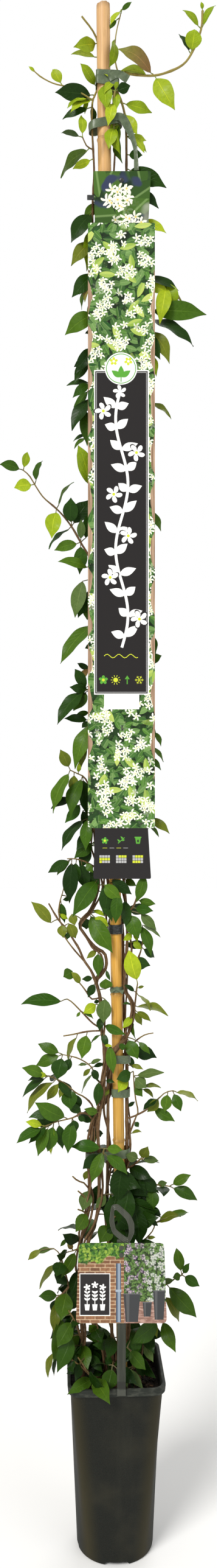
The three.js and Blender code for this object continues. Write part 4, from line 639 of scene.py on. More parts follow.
MIDDLE_LEAVES = [
    [-31, 211, -62, 190, 14, G, -44, -70], [-27, 215, -6, 178, 21, G, -44, -73],
    [-45, 222, -63, 216, 7, D, -40, -48], [-31, 240, -16, 219, 13, D, -20, -34],
    [-18, 240, -2, 222, 10, D, -16, -30], [-22, 268, -34, 280, 12, G, -12, -20],
    [-15, 506, -57, 511, 13, G, -18, -22], [-15, 506, -31, 465, 14, G, -18, -26],
    [-13, 505, 16, 476, 13, G, -18, -24], [-13, 508, 10, 507, 12, G, -19, -22], [-20, 528, -34, 514, 8, D],
    [-20, 466, -26, 436, 16, D, 2, 8], [-12, 447, -25, 431, 12, P, -6, -10],
    [-21, 594, -24, 564, 13, D, -12, -15], [-18, 557, -40, 560, 11, G, -11, -16],
    [-13, 597, 0, 594, 5, D, -9, -12], [-14, 661, -9, 640, 9, D, -5, -10],
    [-35, 659, -43, 626, 19, G, -6, -14], [-46, 657, -60, 621, 5, O], [-20, 657, -31, 645, 2.5, G],
    [-70, 699, -122, 698, 14, G, -13, -16], [-43, 684, -28, 677, 4, G], [-44, 684, -50, 679, 4, G],
    [-25, 695, -41, 684, 14, Y, -4, -10], [-27, 706, -23, 696, 7, D], [-13, 702, -15, 671, 20, P, -6, -12],
    [-23, 682, -20, 661, 10, D, -4, -8], [-13, 669, 14, 657, 12, G, -13, -19],
    [-30, 722, -35, 705, 11, D, -7, -10], [-12, 715, -12, 729, 17, G, -6, -9],
    [-9, 738, -6, 726, 5, D, -10, -11], [-30, 727, -43, 728, 8, D, -8, -12],
    [-41, 722, -57, 738, 9, O, -7, -12], [-55, 738, -67, 731, 16, G, -10, -13],
    [-19, 766, -22, 732, 14, G, -8, -13], [-24, 764, -37, 755, 8, O, -6, -12],
    [-31, 812, -3, 763, 24, G, -9, -17], [-27, 815, -12, 809, 5, Y, -6, -12],
    [-26, 808, -8, 797, 12, Y, -7, -14], [-83, 801, -109, 829, 14, O, -15, -20], [-66, 814, -61, 806, 6, Y],
    [-56, 812, -52, 798, 12, O, -12, -14], [-71, 799, -67, 782, 13, O, -12, -18],
    [-70, 830, -65, 802, 11, D, -8, -6], [-60, 800, -51, 781, 15, O, -13, -9], [-68, 787, -58, 783, 9, D],
    [-43, 812, -37, 793, 15, D, -1, 3], [-58, 833, -68, 831, 6, D, -3, -7],
    [-22, 857, -55, 810, 24, G, -6, -24], [-58, 885, -87, 866, 12, D, -14, -22],
    [-58, 884, -75, 864, 7, G, -13, -12], [-59, 880, -59, 828, 18, D, -13, -18],
    [-50, 884, -54, 850, 18, D, -8, -4], [-44, 882, -38, 846, 18, D, -4, 3],
    [-40, 884, -28, 866, 9, G, -7, -12], [-31, 872, -31, 838, 18, D, 5, 8],
    [-32, 918, -50, 896, 16, D, 2, -8], [-30, 905, -53, 886, 17, G, 0, -12],
    [-34, 900, -46, 872, 16, D, 5, 0], [-41, 934, -69, 895, 9, D, 0, -14],
    [-36, 934, -38, 896, 16, G, -2, -10], [-42, 946, -33, 922, 14, D, 4, 8],
    [-46, 954, -65, 931, 14, G, 0, -12], [-52, 962, -83, 949, 8, D, -2, -12],
    [-44, 991, -57, 941, 10, G, -5, -12], [-41, 990, -36, 940, 15, D, 0, 2],
    [-57, 998, -80, 945, 13, G, -8, -20], [-55, 998, -54, 970, 14, O, -7, -2],
    [-58, 1000, -71, 1026, 15, O, -8, -14], [-43, 996, -47, 1009, 6, Y, -3, -8],
    [-42, 1040, -44, 1003, 15, O, 3, 6], [-35, 1056, -52, 1004, 17, G, 0, -8], [-34, 1062, -43, 1054, 8, D],
    [-36, 1064, -66, 1066, 9, D], [-34, 1074, -52, 1069, 8, G, 6, 4], [-38, 1100, -54, 1076, 19, G, 4, -4],
    [-42, 1101, -75, 1060, 10, D, 0, -10], [-36, 1104, -59, 1107, 13, D, 2, -6],
    [-38, 1106, -52, 1132, 14, D, 4, 0], [-35, 1130, -47, 1115, 9, B], [-34, 1129, -49, 1138, 8, D],
    [-28, 1162, -39, 1157, 7, D], [-31, 1191, -71, 1137, 14, G, 2, -14],
    [-34, 1212, -36, 1194, 12, G, 9, 9], [-36, 1230, -48, 1198, 19, D, 6, 2],
    [-42, 1244, -52, 1197, 18, P, 0, -8], [-34, 1370, -48, 1422, 18, Y, 0, -6],
    [-38, 1430, -53, 1417, 4, G], [-38, 1434, -54, 1426, 4, D], [-39, 1465, -36, 1421, 19, G, 4, 2],
    [-34, 1480, -56, 1440, 13, D, 3, -8], [-35, 1491, -53, 1457, 9, G, 8, 4],
    [-34, 1500, -55, 1483, 10, G, 2, -8], [-33, 1502, -63, 1498, 5, D], [-36, 1530, -53, 1503, 15, D, 8, 0],
    [-31, 1549, -51, 1515, 15, D, 1, -8], [-37, 1532, -53, 1522, 7, D], [-30, 1572, -39, 1566, 6, D],
    [-25, 1593, -65, 1564, 22, G, 1, -14], [-30, 1606, -36, 1590, 9, Y], [-33, 1627, -39, 1606, 5, B],
    [-34, 1629, -43, 1598, 4, G], [-40, 1634, -46, 1616, 4, D], [-28, 1647, -56, 1613, 20, D, 0, -10],
    [-28, 1705, -37, 1647, 20, Y, 6, 2], [-33, 1685, -57, 1654, 14, O, 2, -10],
    [-24, 1723, -57, 1684, 14, D, 0, -14], [-22, 1733, -41, 1716, 14, G, 6, 2],
    [-32, 1806, -70, 1770, 9, G, -4, -16], [-30, 1790, -55, 1780, 10, Y], [-42, 1820, -44, 1849, 8, Y],
    [-42, 1820, -70, 1827, 5, D], [-34, 1870, -39, 1851, 5, Y], [-36, 1857, -68, 1845, 8, D],
    [-28, 1871, -62, 1859, 12, Y, -4, -16], [-28, 1881, -78, 1880, 22, D, -5, -12],
    [-70, 1885, -81, 1909, 14, Y], [-105, 1905, -112, 1912, 4, Y], [-29, 1891, -45, 1918, 13, Y],
    [-27, 1930, -57, 1929, 6, Y], [-28, 1945, -54, 1938, 18, Y, -6, -18],
]

CENTRE_SHOOTS = [
    [2.2, 1.2, [
        [-3, 196, -4], [-3, 235, -5], [-5, 300, -4], [-9, 400, 0], [-10, 440, 2], [-9.5, 480, 2],
        [-9, 520, 0], [-9, 560, -3], [-8.7, 600, 1], [-8.8, 620, -4], [-4, 631, -10.5], [4, 640, -11.8],
        [12, 648, -9], [18, 658, -4], [23, 675, 0], [25, 690, 0], [21, 702, -1], [14.8, 711, -1],
        [13, 724, -1], [12.5, 742, -1], [15, 760, -1], [16, 790, 0], [15, 815, 3], [13, 840, 5.5],
        *twine(25, 720, 865, 1770), [0, 1805, -3], [-1.5, 1841, -5.5], [-2, 1853, -6.5], [-2, 1866, -9.5],
        [0, 1880, -10.5],
    ]],
    [1.3, 0.8, [[-3, 224, -5], [-2, 232, -18], [-3, 227, -36]]],
    [1.3, 0.8, [[-9, 405, 0], [-4, 412, -14], [0, 420, -22]]],
    [1.3, 0.8, [[25, 688, 0], [27, 703, -4], [28, 713, -6], [29.5, 722, -7]]],
    [1.2, 0.8, [[15, 752, -1], [24, 747, 2], [31, 757, 0], [35, 770, -3], [36, 781, -4]]],
    [1.3, 0.8, [[15.5, 806, 1], [20, 817, -4], [24.5, 823, -7], [29, 836, -8], [34, 854, -8]]],
]
CENTRE_LEAVES = [
    [-4, 225, -10, 193, 21, G, -38, -52], [2, 258, -29, 254, 12, G, -22, -32],
    [-4, 412, -20, 386, 22, G, -16, -30], [2, 422, 22, 405, 18, D, -22, -26],
    [-8, 452, 14, 428, 19, G, -6, -24], [-4, 474, 34, 459, 25, D, -10, -18],
    [-6, 462, 24, 436, 22, D, -4, -12], [-12, 450, -14, 424, 14, D], [-13, 642, -3, 641, 4, Y, -12, -14],
    [-7, 641, -2, 606, 13, G, -12, -14], [-2, 642, 15, 642, 9, G, -15, -17],
    [-8, 588, -13, 576, 7, O, -4, -8], [18, 651, 30, 625, 18, G, -7, -14],
    [31, 646, 46, 631, 8, G, -8, -14], [28, 691, 69, 682, 6, O, -3, -12], [28, 689, 47, 673, 7, O, -3, -6],
    [27, 686, 35, 669, 9, O, -2, 3], [25, 678, 27, 651, 4, G], [20, 684, 10, 664, 10, Y, -8, -12],
    [22, 693, 10, 696, 2.5, G, -8, -10], [30, 719, 18, 768, 22, Y, -8, -12], [29, 719, 38, 719, 4, O],
    [25, 713, 12, 721, 5, D, -8, -11], [28, 713, 46, 687, 5, O], [24, 776, 35, 767, 9, Y, -4, -8],
    [24, 788, 30, 776, 5, Y, -5, -8], [22, 787, 11, 778, 9, Y, -5, -9], [18, 797, 17, 789, 4, Y],
    [34, 796, 47, 760, 12, G, -8, -14], [36, 798, 59, 783, 5, P, -8, -16],
    [34, 812, 54, 793, 13, P, -9, -16], [18, 815, 31, 781, 21, G, -8, -14],
    [25, 821, 50, 817, 13, G, -9, -16], [30, 827, 53, 826, 11, G, -8, -12],
    [12, 832, 14, 796, 15, D, -2, -6], [38, 862, 28, 828, 15, G, -9, -13],
    [10, 858, 28, 849, 10, G, -12, -14], [-4, 856, 22, 838, 15, D, -11, -14],
    [-14, 850, 8, 831, 17, G, -11, -16], [4, 840, 1, 800, 16, G, -14, -17],
    [-8, 852, -14, 812, 20, D, -10, -13], [-14, 838, -4, 803, 15, D, -9, -12.5],
    [-17, 1884, -8, 1855, 10, Y, -10, -14], [1, 1880, 4, 1893, 4, Y], [-6, 1850, 1, 1806, 16, Y, -12, -16],
    [6, 1836, 10, 1787, 5, G, -6, -12], [0, 1880, 20, 1887, 14, D, -6, -12],
    [-1, 1946, -8, 1910, 5, Y, -9, -13], [2, 1972, -8, 1960, 5, G, -4, -2], [9, 1985, 22, 1996, 6, G],
]

RIGHT_SHOOTS = [
    [2.4, 1.4, [
        [33, 194, -6], [31, 215, -6], [26, 235, -6], [19, 262, -5], [18, 300, 3], [15, 350, 9],
        [12, 420, 10], [12.5, 470, 9], [14.8, 497, 5.5], [15.6, 520, 2.5], [15.4, 560, 2], [15.6, 600, 3],
        [15.4, 628, 3.4], [14, 655, 8], [11, 690, 10.5], [10.5, 730, 10], [10.5, 770, 10], [8.5, 810, 11],
        [3, 850, 13], [12, 900, 11], [22, 950, 7], [25, 1010, 3], [20, 1070, 4], [24, 1130, 8],
        [27, 1190, 4], [23, 1250, 0], [20, 1310, 4], [24, 1370, 8], [26, 1430, 4], [22, 1490, 0],
        [20, 1550, 4], [23, 1610, 6], [22, 1670, 2], [17, 1730, 2], [15, 1775, 1], [15, 1800, 0],
        [13.5, 1845, -1], [8, 1868, -3], [1, 1884, -4.5], [0.3, 1897, -4], [4, 1905, -5], [12, 1904, -5],
        [20, 1902, -4], [50, 1900, 0], [70, 1905, 4], [88, 1914, 6], [98, 1926, 7], [112, 1960, 8],
        [114, 1984, 8],
    ]],
    [1.4, 0.8, [
        [31, 218, -6], [35, 245, -4], [37, 262, -2], [43, 300, -4], [38, 350, -8], [33, 384, -10],
        [42, 393, -12], [50, 403, -13], [52, 411, -14],
    ]],
    [1.3, 0.7, [[13, 464, 9], [25, 463, 5], [38, 461, 0], [50, 461, -4], [66, 460, -8], [71, 459, -9]]],
    [1.3, 0.6, [
        [15.4, 547, 2], [25, 550, -1], [42, 559, -5], [50, 566, -8], [58, 574, -10], [66, 581, -11],
        [75, 583, -12],
    ]],
    [1.2, 0.7, [
        [15.6, 517, 3], [22, 535, 0], [27, 548, -2], [30, 555, -2], [27, 572, -1], [25, 590, 0],
        [24, 608, 0],
    ]],
    [1.1, 0.7, [[15.6, 632, 4], [22, 642, 2], [30, 650, -3], [40, 656, -7], [50, 658, -9]]],
    [1.3, 0.8, [[13.5, 484, 8], [20, 484, 2], [26, 488, -3], [33, 494, -7], [38, 496, -8]]],
    [1.4, 0.9, [[26, 236, -6], [22, 244, -22], [16, 250, -34]]],
    [1.3, 0.8, [[42, 296, -4], [52, 312, -10], [62, 328, -14], [76, 338, -18], [87, 344, -20]]],
    [1.2, 0.8, [[43, 300, -4], [52, 294, -8], [60, 288, -10]]],
    [1.0, 0.6, [[4, 1905, -5], [1, 1916, -6], [1, 1950, -6], [9, 1986, -6]]],
]
RIGHT_LEAVES = [
    [15, 249, 40, 221, 17, G, -32, -48], [37, 257, 50, 231, 9, P, -6, -24],
    [54, 282, 20, 256, 22, G, -20, -44], [28, 272, 28, 240, 15, G, -28, -44],
    [50, 286, 55, 263, 9, O, -12, -24], [15, 222, 37, 197, 10, P, -24, -42],
    [14, 216, 16, 198, 6, P, -28, -44], [18, 219, 24, 197, 8, D, -22, -38],
    [22, 228, 38, 212, 11, D, -12, -28], [60, 288, 79, 245, 18, G, -14, -34],
    [66, 315, 83, 286, 9, O, -18, -10], [64, 333, 106, 290, 21, G, -16, -26],
    [88, 341, 110, 330, 14, G, -20, -28], [87, 347, 75, 341, 10, G, -20, -26],
    [88, 344, 80, 381, 13, G, -20, -14], [88, 344, 97, 360, 7, G, -20, -26],
    [62, 336, 77, 338, 8, P, -14, -24], [30, 385, 52, 386, 8, D, -11, -20], [41, 392, 53, 393, 3.5, O],
    [26, 411, 34, 390, 5, G, 0, -4], [51, 409, 86, 422, 8, O, -14, -18], [68, 418, 96, 426, 5, G, -18, -14],
    [46, 416, 56, 408, 7, D], [46, 431, 60, 422, 10, D, -4, -8], [20, 414, 57, 419, 23, D, -2, -20],
    [34, 438, 60, 420, 12, D, 2, -2], [50, 460, 49, 428, 17, G, -5, -12], [51, 463, 68, 464, 9, P, -5, -8],
    [70, 462, 99, 475, 12, G, -9, -14], [70, 459, 107, 441, 14, G, -9, -16],
    [14, 460, 42, 447, 18, D, 4, -6], [18, 486, 40, 463, 9, P, 0, -8], [34, 496, 14, 501, 14, P, -9, -10],
    [34, 494, 43, 511, 14, O, -8, -12], [31, 494, 57, 492, 8, P, -6, -3], [28, 546, 31, 536, 7, D],
    [20, 529, 35, 530, 3, O], [46, 560, 78, 545, 14, G, -7, -14], [58, 574, 42, 556, 13, O, -10, -16],
    [70, 583, 65, 556, 15, G, -11, -16], [74, 579, 86, 557, 14, G, -12, -18], [75, 583, 108, 571, 4, O],
    [15, 562, 26, 569, 5, D], [36, 588, 60, 588, 3.5, O], [36, 585, 50, 574, 4, O],
    [22, 588, 36, 576, 12, G, -2, -8], [24, 607, 2, 598, 16, D, -11, -15],
    [19, 601, 4, 582, 16, Y, -12, -16], [21, 604, 41, 587, 17, P, -3, -10],
    [30, 601, 64, 607, 8, P, -1, -10], [22, 616, 37, 611, 6, O, 0, -5], [20, 630, 24, 612, 6, D],
    [36, 1711, 67, 1696, 10, Y, 2, -4], [28, 1753, 57, 1728, 10, D, 2, -8],
    [40, 1637, 83, 1622, 8, D, 3, -6], [44, 1630, 70, 1619, 15, Y, 1, -6],
    [66, 1626, 58, 1580, 20, Y, -4, -10], [62, 1629, 80, 1597, 24, Y, -1, -3],
    [62, 1618, 88, 1607, 6, B, 5, 3], [50, 1594, 119, 1591, 22, G, 2, -6],
    [48, 1584, 102, 1552, 9, D, 6, -6], [46, 1568, 71, 1529, 14, O, 4, -2],
    [42, 1566, 59, 1532, 17, D, 0, -6], [44, 1538, 54, 1511, 9, Y, 4, 0], [46, 1475, 73, 1456, 5, O],
    [42, 1336, 60, 1310, 8, G, 4, -3], [44, 1174, 53, 1150, 15, G, 6, 2], [44, 1140, 61, 1148, 13, G, 5, 0],
    [44, 1060, 52, 1038, 11, G, 4, 0], [52, 1048, 60, 1031, 6, G, 2, -2], [46, 1029, 63, 1011, 4, G],
    [44, 1016, 60, 1000, 7, G, 3, -2], [46, 936, 71, 918, 10, O, 4, -4], [45, 927, 57, 912, 4, G],
    [17, 1782, 67, 1757, 20, D, -2, -14], [16, 1795, 36, 1797, 12, D], [16, 1823, 41, 1816, 8, Y],
    [16, 1821, 41, 1801, 8, Y], [14, 1850, 29, 1825, 9, Y], [10, 1862, 48, 1852, 12, Y],
    [50, 1900, 3, 1935, 14, B, -2, -14], [48, 1901, 8, 1908, 8, Y, -3, -12],
    [53, 1899, 78, 1856, 25, Y, -2, -12], [98, 1927, 103, 1962, 22, Y, 5, 0],
    [98, 1927, 83, 1954, 5, D, 7, 2], [111, 1961, 88, 1986, 7, Y, 8, 4], [112, 1962, 131, 1993, 6, Y, 8, 4],
    [113, 1982, 112, 1996, 4, Y, 8, 5],
]

# The stems: name, shoots, leaves, how many leaves stand behind at a place, and the seed of its draws
STEMS = [
    ("stem_left", LEFT_SHOOTS, LEFT_LEAVES, 1, 3),
    ("stem_middle", MIDDLE_SHOOTS, MIDDLE_LEAVES, 2, 5),
    ("stem_centre", CENTRE_SHOOTS, CENTRE_LEAVES, 1, 7),
    ("stem_right", RIGHT_SHOOTS, RIGHT_LEAVES, 2, 9),
]

# Thinner shoots that wind around each main one: [lowest, highest, radius, pitch, phase, looseness]
TWINERS = {
    "stem_left": ((205, 610, 1.5, 150, 0.4, 2.0), (320, 1010, 1.3, 210, 3.3, 3.5),
                  (900, 1560, 1.0, 190, 1.2, 2.5)),
    "stem_middle": ((205, 660, 1.6, 180, 2.1, 2.5), (540, 1180, 1.3, 160, 5.0, 3.0)),
    "stem_centre": ((205, 700, 1.5, 130, 1.1, 3.0), (560, 1120, 1.4, 230, 4.2, 4.0)),
    "stem_right": ((205, 560, 1.4, 170, 0.0, 2.0), (470, 1060, 1.1, 200, 2.6, 3.0)),
}

# Leaves that fill the plant in, dark with painted shade: [lowest, highest, count, first and last
# azimuth, shortest, longest]
FILLERS = {
    "stem_left": ((300, 410, 9, 200, 330, 34, 52), (228, 290, 9, 150, 400, 26, 40),
                  (420, 620, 7, 60, 200, 30, 44)),
    "stem_middle": ((226, 292, 10, 100, 440, 24, 40), (400, 560, 6, 90, 270, 30, 44)),
    "stem_centre": ((226, 292, 9, 60, 420, 24, 40), (398, 500, 9, 40, 200, 36, 54),
                    (600, 980, 7, 90, 270, 26, 40)),
    "stem_right": ((228, 296, 9, -60, 250, 26, 42), (396, 500, 8, 20, 170, 36, 54),
                   (560, 980, 6, 60, 300, 24, 38)),
}

# Leaves of the inner foliage that show from the front, most of them dark with painted shade, in the
# same terms as the tables
INNER_LEAVES = {
    "stem_left": [
        [-40, 268, -52, 226, 22, D, 10, 16], [-50, 250, -58, 214, 18, D, 4, 4],
        [-22, 262, -34, 222, 22, D, 12, 20], [-50, 300, -84, 262, 24, D, -4, -2],
        [-48, 280, -80, 232, 24, G, 0, 2], [-46, 330, -62, 296, 20, D, -10, -16],
    ],
    "stem_middle": [
        [-28, 1872, -58, 1853, 15, Y, -8, -18], [-26, 1862, -29, 1836, 8, D, 2, 4],
        [-23, 1904, -9, 1899, 5, Y, -12, -14], [-4, 268, -14, 224, 24, D, 14, 22],
        [-30, 285, -10, 250, 20, D, 8, 12], [2, 448, -9, 405, 22, D, -12, -20],
        [-2, 420, 8, 378, 24, D, -14, -22],
    ],
    "stem_centre": [
        [-7, 1836, -8, 1805, 17, Y, -13, -16], [2, 1834, 7, 1800, 11, Y, -12, -14],
        [10, 486, 4, 438, 27, D, -12, -20], [18, 456, 7, 402, 30, D, -14, -24],
        [12, 418, 18, 372, 24, D, -14, -24], [14, 262, 6, 222, 22, D, 14, 24],
        [4, 252, 22, 226, 18, D, 6, 10], [20, 290, 34, 256, 20, D, 8, 12],
    ],
    "stem_right": [
        [3, 1894, -14, 1878, 10, Y, -13, -17], [-13, 1887, -11, 1857, 19, Y, -11, -15],
        [9, 1986, -6, 1966, 9, Y, -4, -8], [0, 1879, 1.5, 1855, 11, Y, -8, -12],
        [-3, 1864, -9, 1836, 15, Y, -11, -15], [17, 1850, 29, 1824, 16, Y, -3, -9],
        [14, 1828, 38, 1800, 13, Y, 2, 0], [14, 480, 42, 446, 25, D, -8, -14],
        [20, 442, 54, 416, 23, D, -8, -12], [26, 432, 32, 384, 25, D, -10, -18],
        [30, 472, 57, 452, 18, D, -6, -8], [26, 270, 38, 230, 23, D, 16, 26],
    ],
}


ROOT_END = 186
SHOOT_STEP, WOOD_STEP = 30, 6
WOOD_SIDES, TWINER_SIDES, STALK_SIDES = 9, 7, 6
FRONT, UP = Vector((0, -1, 0)), Vector((0, 0, 1))


def smooth_point(places, share):
    """A point of the centripetal curve through some places, at a share of its parameter."""
    last = len(places) - 1
    index = min(math.floor(share * last), last - 1)
    weight = share * last - index
    x1, x2 = places[index], places[index + 1]
    x0 = places[index - 1] if index > 0 else x1 * 2 - x2
    x3 = places[index + 2] if index + 2 <= last else x2 * 2 - x1
    dt0, dt1, dt2 = (math.sqrt((b - a).length) for a, b in ((x0, x1), (x1, x2), (x2, x3)))
    dt1 = dt1 if dt1 >= 1e-4 else 1.0
    dt0 = dt0 if dt0 >= 1e-4 else dt1
    dt2 = dt2 if dt2 >= 1e-4 else dt1
    t1 = ((x1 - x0) / dt0 - (x2 - x0) / (dt0 + dt1) + (x2 - x1) / dt1) * dt1
    t2 = ((x2 - x1) / dt1 - (x3 - x1) / (dt1 + dt2) + (x3 - x2) / dt2) * dt1
    squared, cubed = weight ** 2, weight ** 3
    return x1 + t1 * weight + (x2 * 3 - x1 * 3 - t1 * 2 - t2) * squared + (x1 * 2 - x2 * 2 + t1 + t2) * cubed


def spaced(places, step):
    """Evenly spaced points of that curve, about a step apart and at least three."""
    fine = [smooth_point(places, i / 200) for i in range(201)]
    reached = [0.0]
    for before, after in zip(fine, fine[1:]):
        reached.append(reached[-1] + (after - before).length)
    count = max(2, math.floor(reached[-1] / step + 0.5))
    points = []
    k = 0
    for i in range(count + 1):
        wanted = reached[-1] * i / count
        while k < 199 and reached[k + 1] < wanted:
            k += 1
        part = (wanted - reached[k]) / max(reached[k + 1] - reached[k], 1e-9)
        points.append(smooth_point(places, min(1.0, (k + part) / 200)))
    return points


def finder(points):
    """A tree that finds the nearest of some points."""
    made = KDTree(len(points))
    for k, point in enumerate(points):
        made.insert(point, k)
    made.balance()
    return made


def nearest_on(wood, x, z):
    """The point of the wood that lines up nearest to a place."""
    place = Vector((x, z))
    best_away, best = math.inf, None
    for points in wood:
        for start, end in zip(points, points[1:]):
            origin = seen(start)
            reach = seen(end) - origin
            share = limited((place - origin).dot(reach) / max(reach.length_squared, 1e-9))
            point = start.lerp(end, share)
            away = (seen(point) - place).length
            if away < best_away:
                best_away, best = away, point
    return best


def turned_normal(base, tip, facing, angle):
    """The upper face's normal, turned about the midrib."""
    along = (tip - base).normalized()
    normal = (facing - along * facing.dot(along)).normalized()
    return Quaternion(along, angle) @ normal


# Ways to bend a leaf clear of its neighbours, mildest first: [turn in degrees, shift of the tip]
TURNS = [0, 18, -18, 34, -34, 52, -52, 72, -72]
SHIFTS = [0, 7, -7, 14, -14, 24, -24]
BENDS = [(turn, shift) for turn in TURNS for shift in SHIFTS]
BENDS.sort(key=lambda way: math.hypot(way[0] / 3, way[1]))

LEAF_FULLNESS, LEAF_WIDEST = 0.4, 25
STALK_REACH, LONGEST_STALK = 6, 28
LEAST_LENGTH, LEAST_FACE = 17, 130
CAD_THICKNESS = 0.7
# The corners of a coarse blade below each length: [share of the length, share of the width]
CAD_BLADES = ((30, ((0.45, 1),)), (56, ((0.3, 0.95), (0.66, 0.84))),
              (math.inf, ((0.2, 0.8), (0.46, 1), (0.76, 0.66))))


def drawing(seed):
    """A stream of numbers from 0 to 1 that is the same in each run."""
    state = seed
    while True:
        state = (state * 1664525 + 1013904223) % 4294967296
        yield state / 4294967296


def table_leaf(wood, row, draw):
    """A leaf of a table, as a function that bends it."""
    x, z, tip_x, tip_z, seen_width, age = row[:6]
    base_depth, tip_depth = (row[6:] + [None, None])[:2]
    start = nearest_on(wood, x, z)
    depth = start.y if base_depth is None else base_depth
    seen_length = math.hypot(tip_x - x, tip_z - z)
    if tip_depth is None:
        tip_depth = depth + seen_length * (0.75 * next(draw) - 0.4)
    base = sighted(x, z, depth)
    side = -1 if next(draw) < 0.5 else 1

    def bent(way):
        tip = sighted(tip_x, tip_z, tip_depth + way[1])
        width = min(LEAF_WIDEST, max(seen_width, LEAF_FULLNESS * (tip - base).length))
        roll = math.acos(min(1.0, seen_width / width))
        upper, lower = (turned_normal(base, tip, FRONT, turn).z for turn in (roll, -roll))
        towards = 1 if upper >= lower else -1
        if abs(tip.x - base.x) < seen_length * 0.2:
            towards = side
        normal = turned_normal(base, tip, FRONT, towards * roll + math.radians(way[0]))
        return dict(start=start, base=base, tip=tip, normal=normal, width=width, age=age, seen=seen_width)

    return bent


def as_wide_as_seen(leaf):
    """The leaf turned about its midrib, as little as it takes to look as wide as it should."""
    along = (leaf["tip"] - leaf["base"]).normalized()
    towards = (EYE - leaf["base"].lerp(leaf["tip"], 0.5)).normalized()
    widest = leaf["width"] * math.sqrt(max(0.0, 1 - along.dot(towards) ** 2))
    for degrees in range(0, 60, 5):
        for turn in (degrees, -degrees):
            normal = Quaternion(along, math.radians(turn)) @ leaf["normal"]
            if abs(normal.dot(towards)) * leaf["width"] >= min(1.15 * leaf["seen"], 0.97 * widest):
                return {**leaf, "normal": normal}
    return leaf


BACK_HEIGHTS = ((232, 420), (430, 480), (800, 1760))
BACK_EVERY = 4
BACK_SHORTEST, BACK_LONGEST, BACK_DROP = 40, 56, 0.4
BACK_LEFT, BACK_RIGHT = -32, 49


def back_leaf(start, draw):
    """A leaf behind a stem, where it shows only from the sides and from behind."""
    length = BACK_SHORTEST + (BACK_LONGEST - BACK_SHORTEST) * next(draw)
    drop = -BACK_DROP * next(draw)
    roll = (next(draw) - 0.5) * 0.9
    swing = (next(draw) - 0.5) * math.pi * 0.9
    width = length * (0.38 + 0.1 * next(draw))
    share = 1.0
    side = math.sin(swing) * length
    while share > 0 and not BACK_LEFT <= start.x + side <= BACK_RIGHT:
        share -= 0.1
        side = math.sin(swing * share) * length
    back = math.cos(swing * share) * length

    def bent(way):
        tip = start + Vector((side, back, length * drop + way[1]))
        normal = turned_normal(start, tip, UP, roll + math.radians(way[0]))
        return dict(start=start, base=start, tip=tip, normal=normal, width=width, age=G)

    return bent


FILL_LEFT, FILL_RIGHT = -74, 62


def filler_leaf(start, draw, first, last, shortest, longest):
    """A leaf of the inner foliage, dark with painted shade, as a function that bends it."""
    azimuth = math.radians(draw.uniform(first, last))
    length = draw.uniform(shortest, longest)
    drop = draw.uniform(-0.65, 0.15)
    width, roll = length * draw.uniform(0.40, 0.52), draw.uniform(-0.5, 0.5)
    out = Vector((math.sin(azimuth), -math.cos(azimuth), 0))
    lean = draw.choice((UP, FRONT, FRONT))

    def bent(way):
        tip = start + out * length * math.cos(drop) + UP * (length * drop + way[1])
        tip.x = min(FILL_RIGHT, max(FILL_LEFT, tip.x))
        normal = turned_normal(start, tip, lean, roll + math.radians(way[0]))
        return dict(start=start, base=start, tip=tip, normal=normal, width=width, age=D)

    return bent


def from_wood(leaf):
    """True if a leaf's base lines up with the wood, so that it has no stalk to be seen."""
    return (seen(leaf["base"]) - seen(leaf["start"])).length < STALK_REACH


def cad_corners(leaf):
    """The corners that the CAD model's coarse blade has for a leaf."""
    base = leaf["start"] if from_wood(leaf) else leaf["base"]
    tip, normal = leaf["tip"], leaf["normal"]
    length = (tip - base).length
    across = normal.cross((tip - base).normalized())
    stations = next(stations for limit, stations in CAD_BLADES if length < limit)
    corners = [tip + normal * CAD_THICKNESS / 2, tip - normal * CAD_THICKNESS / 2]
    for share, fullness in stations:
        middle = base.lerp(tip, share) + normal * (leaf["age"] * length * 4 * share * (1 - share))
        for side in (-1, 1):
            offset = across * (side * leaf["width"] / 2 * fullness)
            corners += [middle + offset + normal * (face * CAD_THICKNESS / 2) for face in (-1, 1)]
    return corners


def as_in_cad(bent, tree):
    """The leaf with the bend it has in the CAD model, or None if it isn't there."""
    best_away, best = math.inf, None
    for way in BENDS:
        leaf = bent(way)
        corners = cad_corners(leaf)
        if tree.find(corners[0] * MM)[2] > best_away * MM * 6:
            continue
        away = sum(tree.find(corner * MM)[2] for corner in corners) / MM / len(corners)
        if away < best_away:
            best_away, best = away, leaf
        if away < 0.02:
            break
    return best if best_away < 0.8 else None


fixed_points, fixed_faces = [], []
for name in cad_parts:
    if not name.startswith("stem_"):
        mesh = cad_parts[name].data
        start = len(fixed_points)
        fixed_faces += [tuple(start + corner for corner in face.vertices) for face in mesh.polygons]
        fixed_points += [vertex.co / MM for vertex in mesh.vertices]
fixed_tree = BVHTree.FromPolygons(fixed_points, fixed_faces)


def clear_of_fixed(bent):
    """The mildest bend in which a leaf's outline touches no pot, label or tie, or None."""
    for way in BENDS:
        leaf = bent(way)
        base, tip = leaf["base"].lerp(leaf["tip"], 0.12), leaf["tip"]
        across = leaf["normal"].cross((tip - base).normalized()) * (leaf["width"] / 2)
        middle = base.lerp(tip, 0.45) + leaf["normal"] * (leaf["age"] * (tip - base).length)
        corners = [base, middle + across, tip, middle - across]
        if not fixed_tree.overlap(BVHTree.FromPolygons(corners, [(0, 1, 2), (0, 2, 3)])):
            return leaf
    return None


def over_rim(point, face):
    """The point itself, or a place on the pot's rim where the blade would sink into it."""
    if not RIM_FOOT < point.z < POT_HEIGHT + 0.8:
        return point
    reach = math.hypot(point.x, point.y)
    outside = square_reach(math.atan2(point.y, point.x) - POT_YAW, POT_RIM_HALF, POT_CORNER)
    if outside - 6.5 < reach < outside + 0.8:
        return Vector((point.x, point.y, POT_HEIGHT + 0.8 + 0.15 * face))
    return point


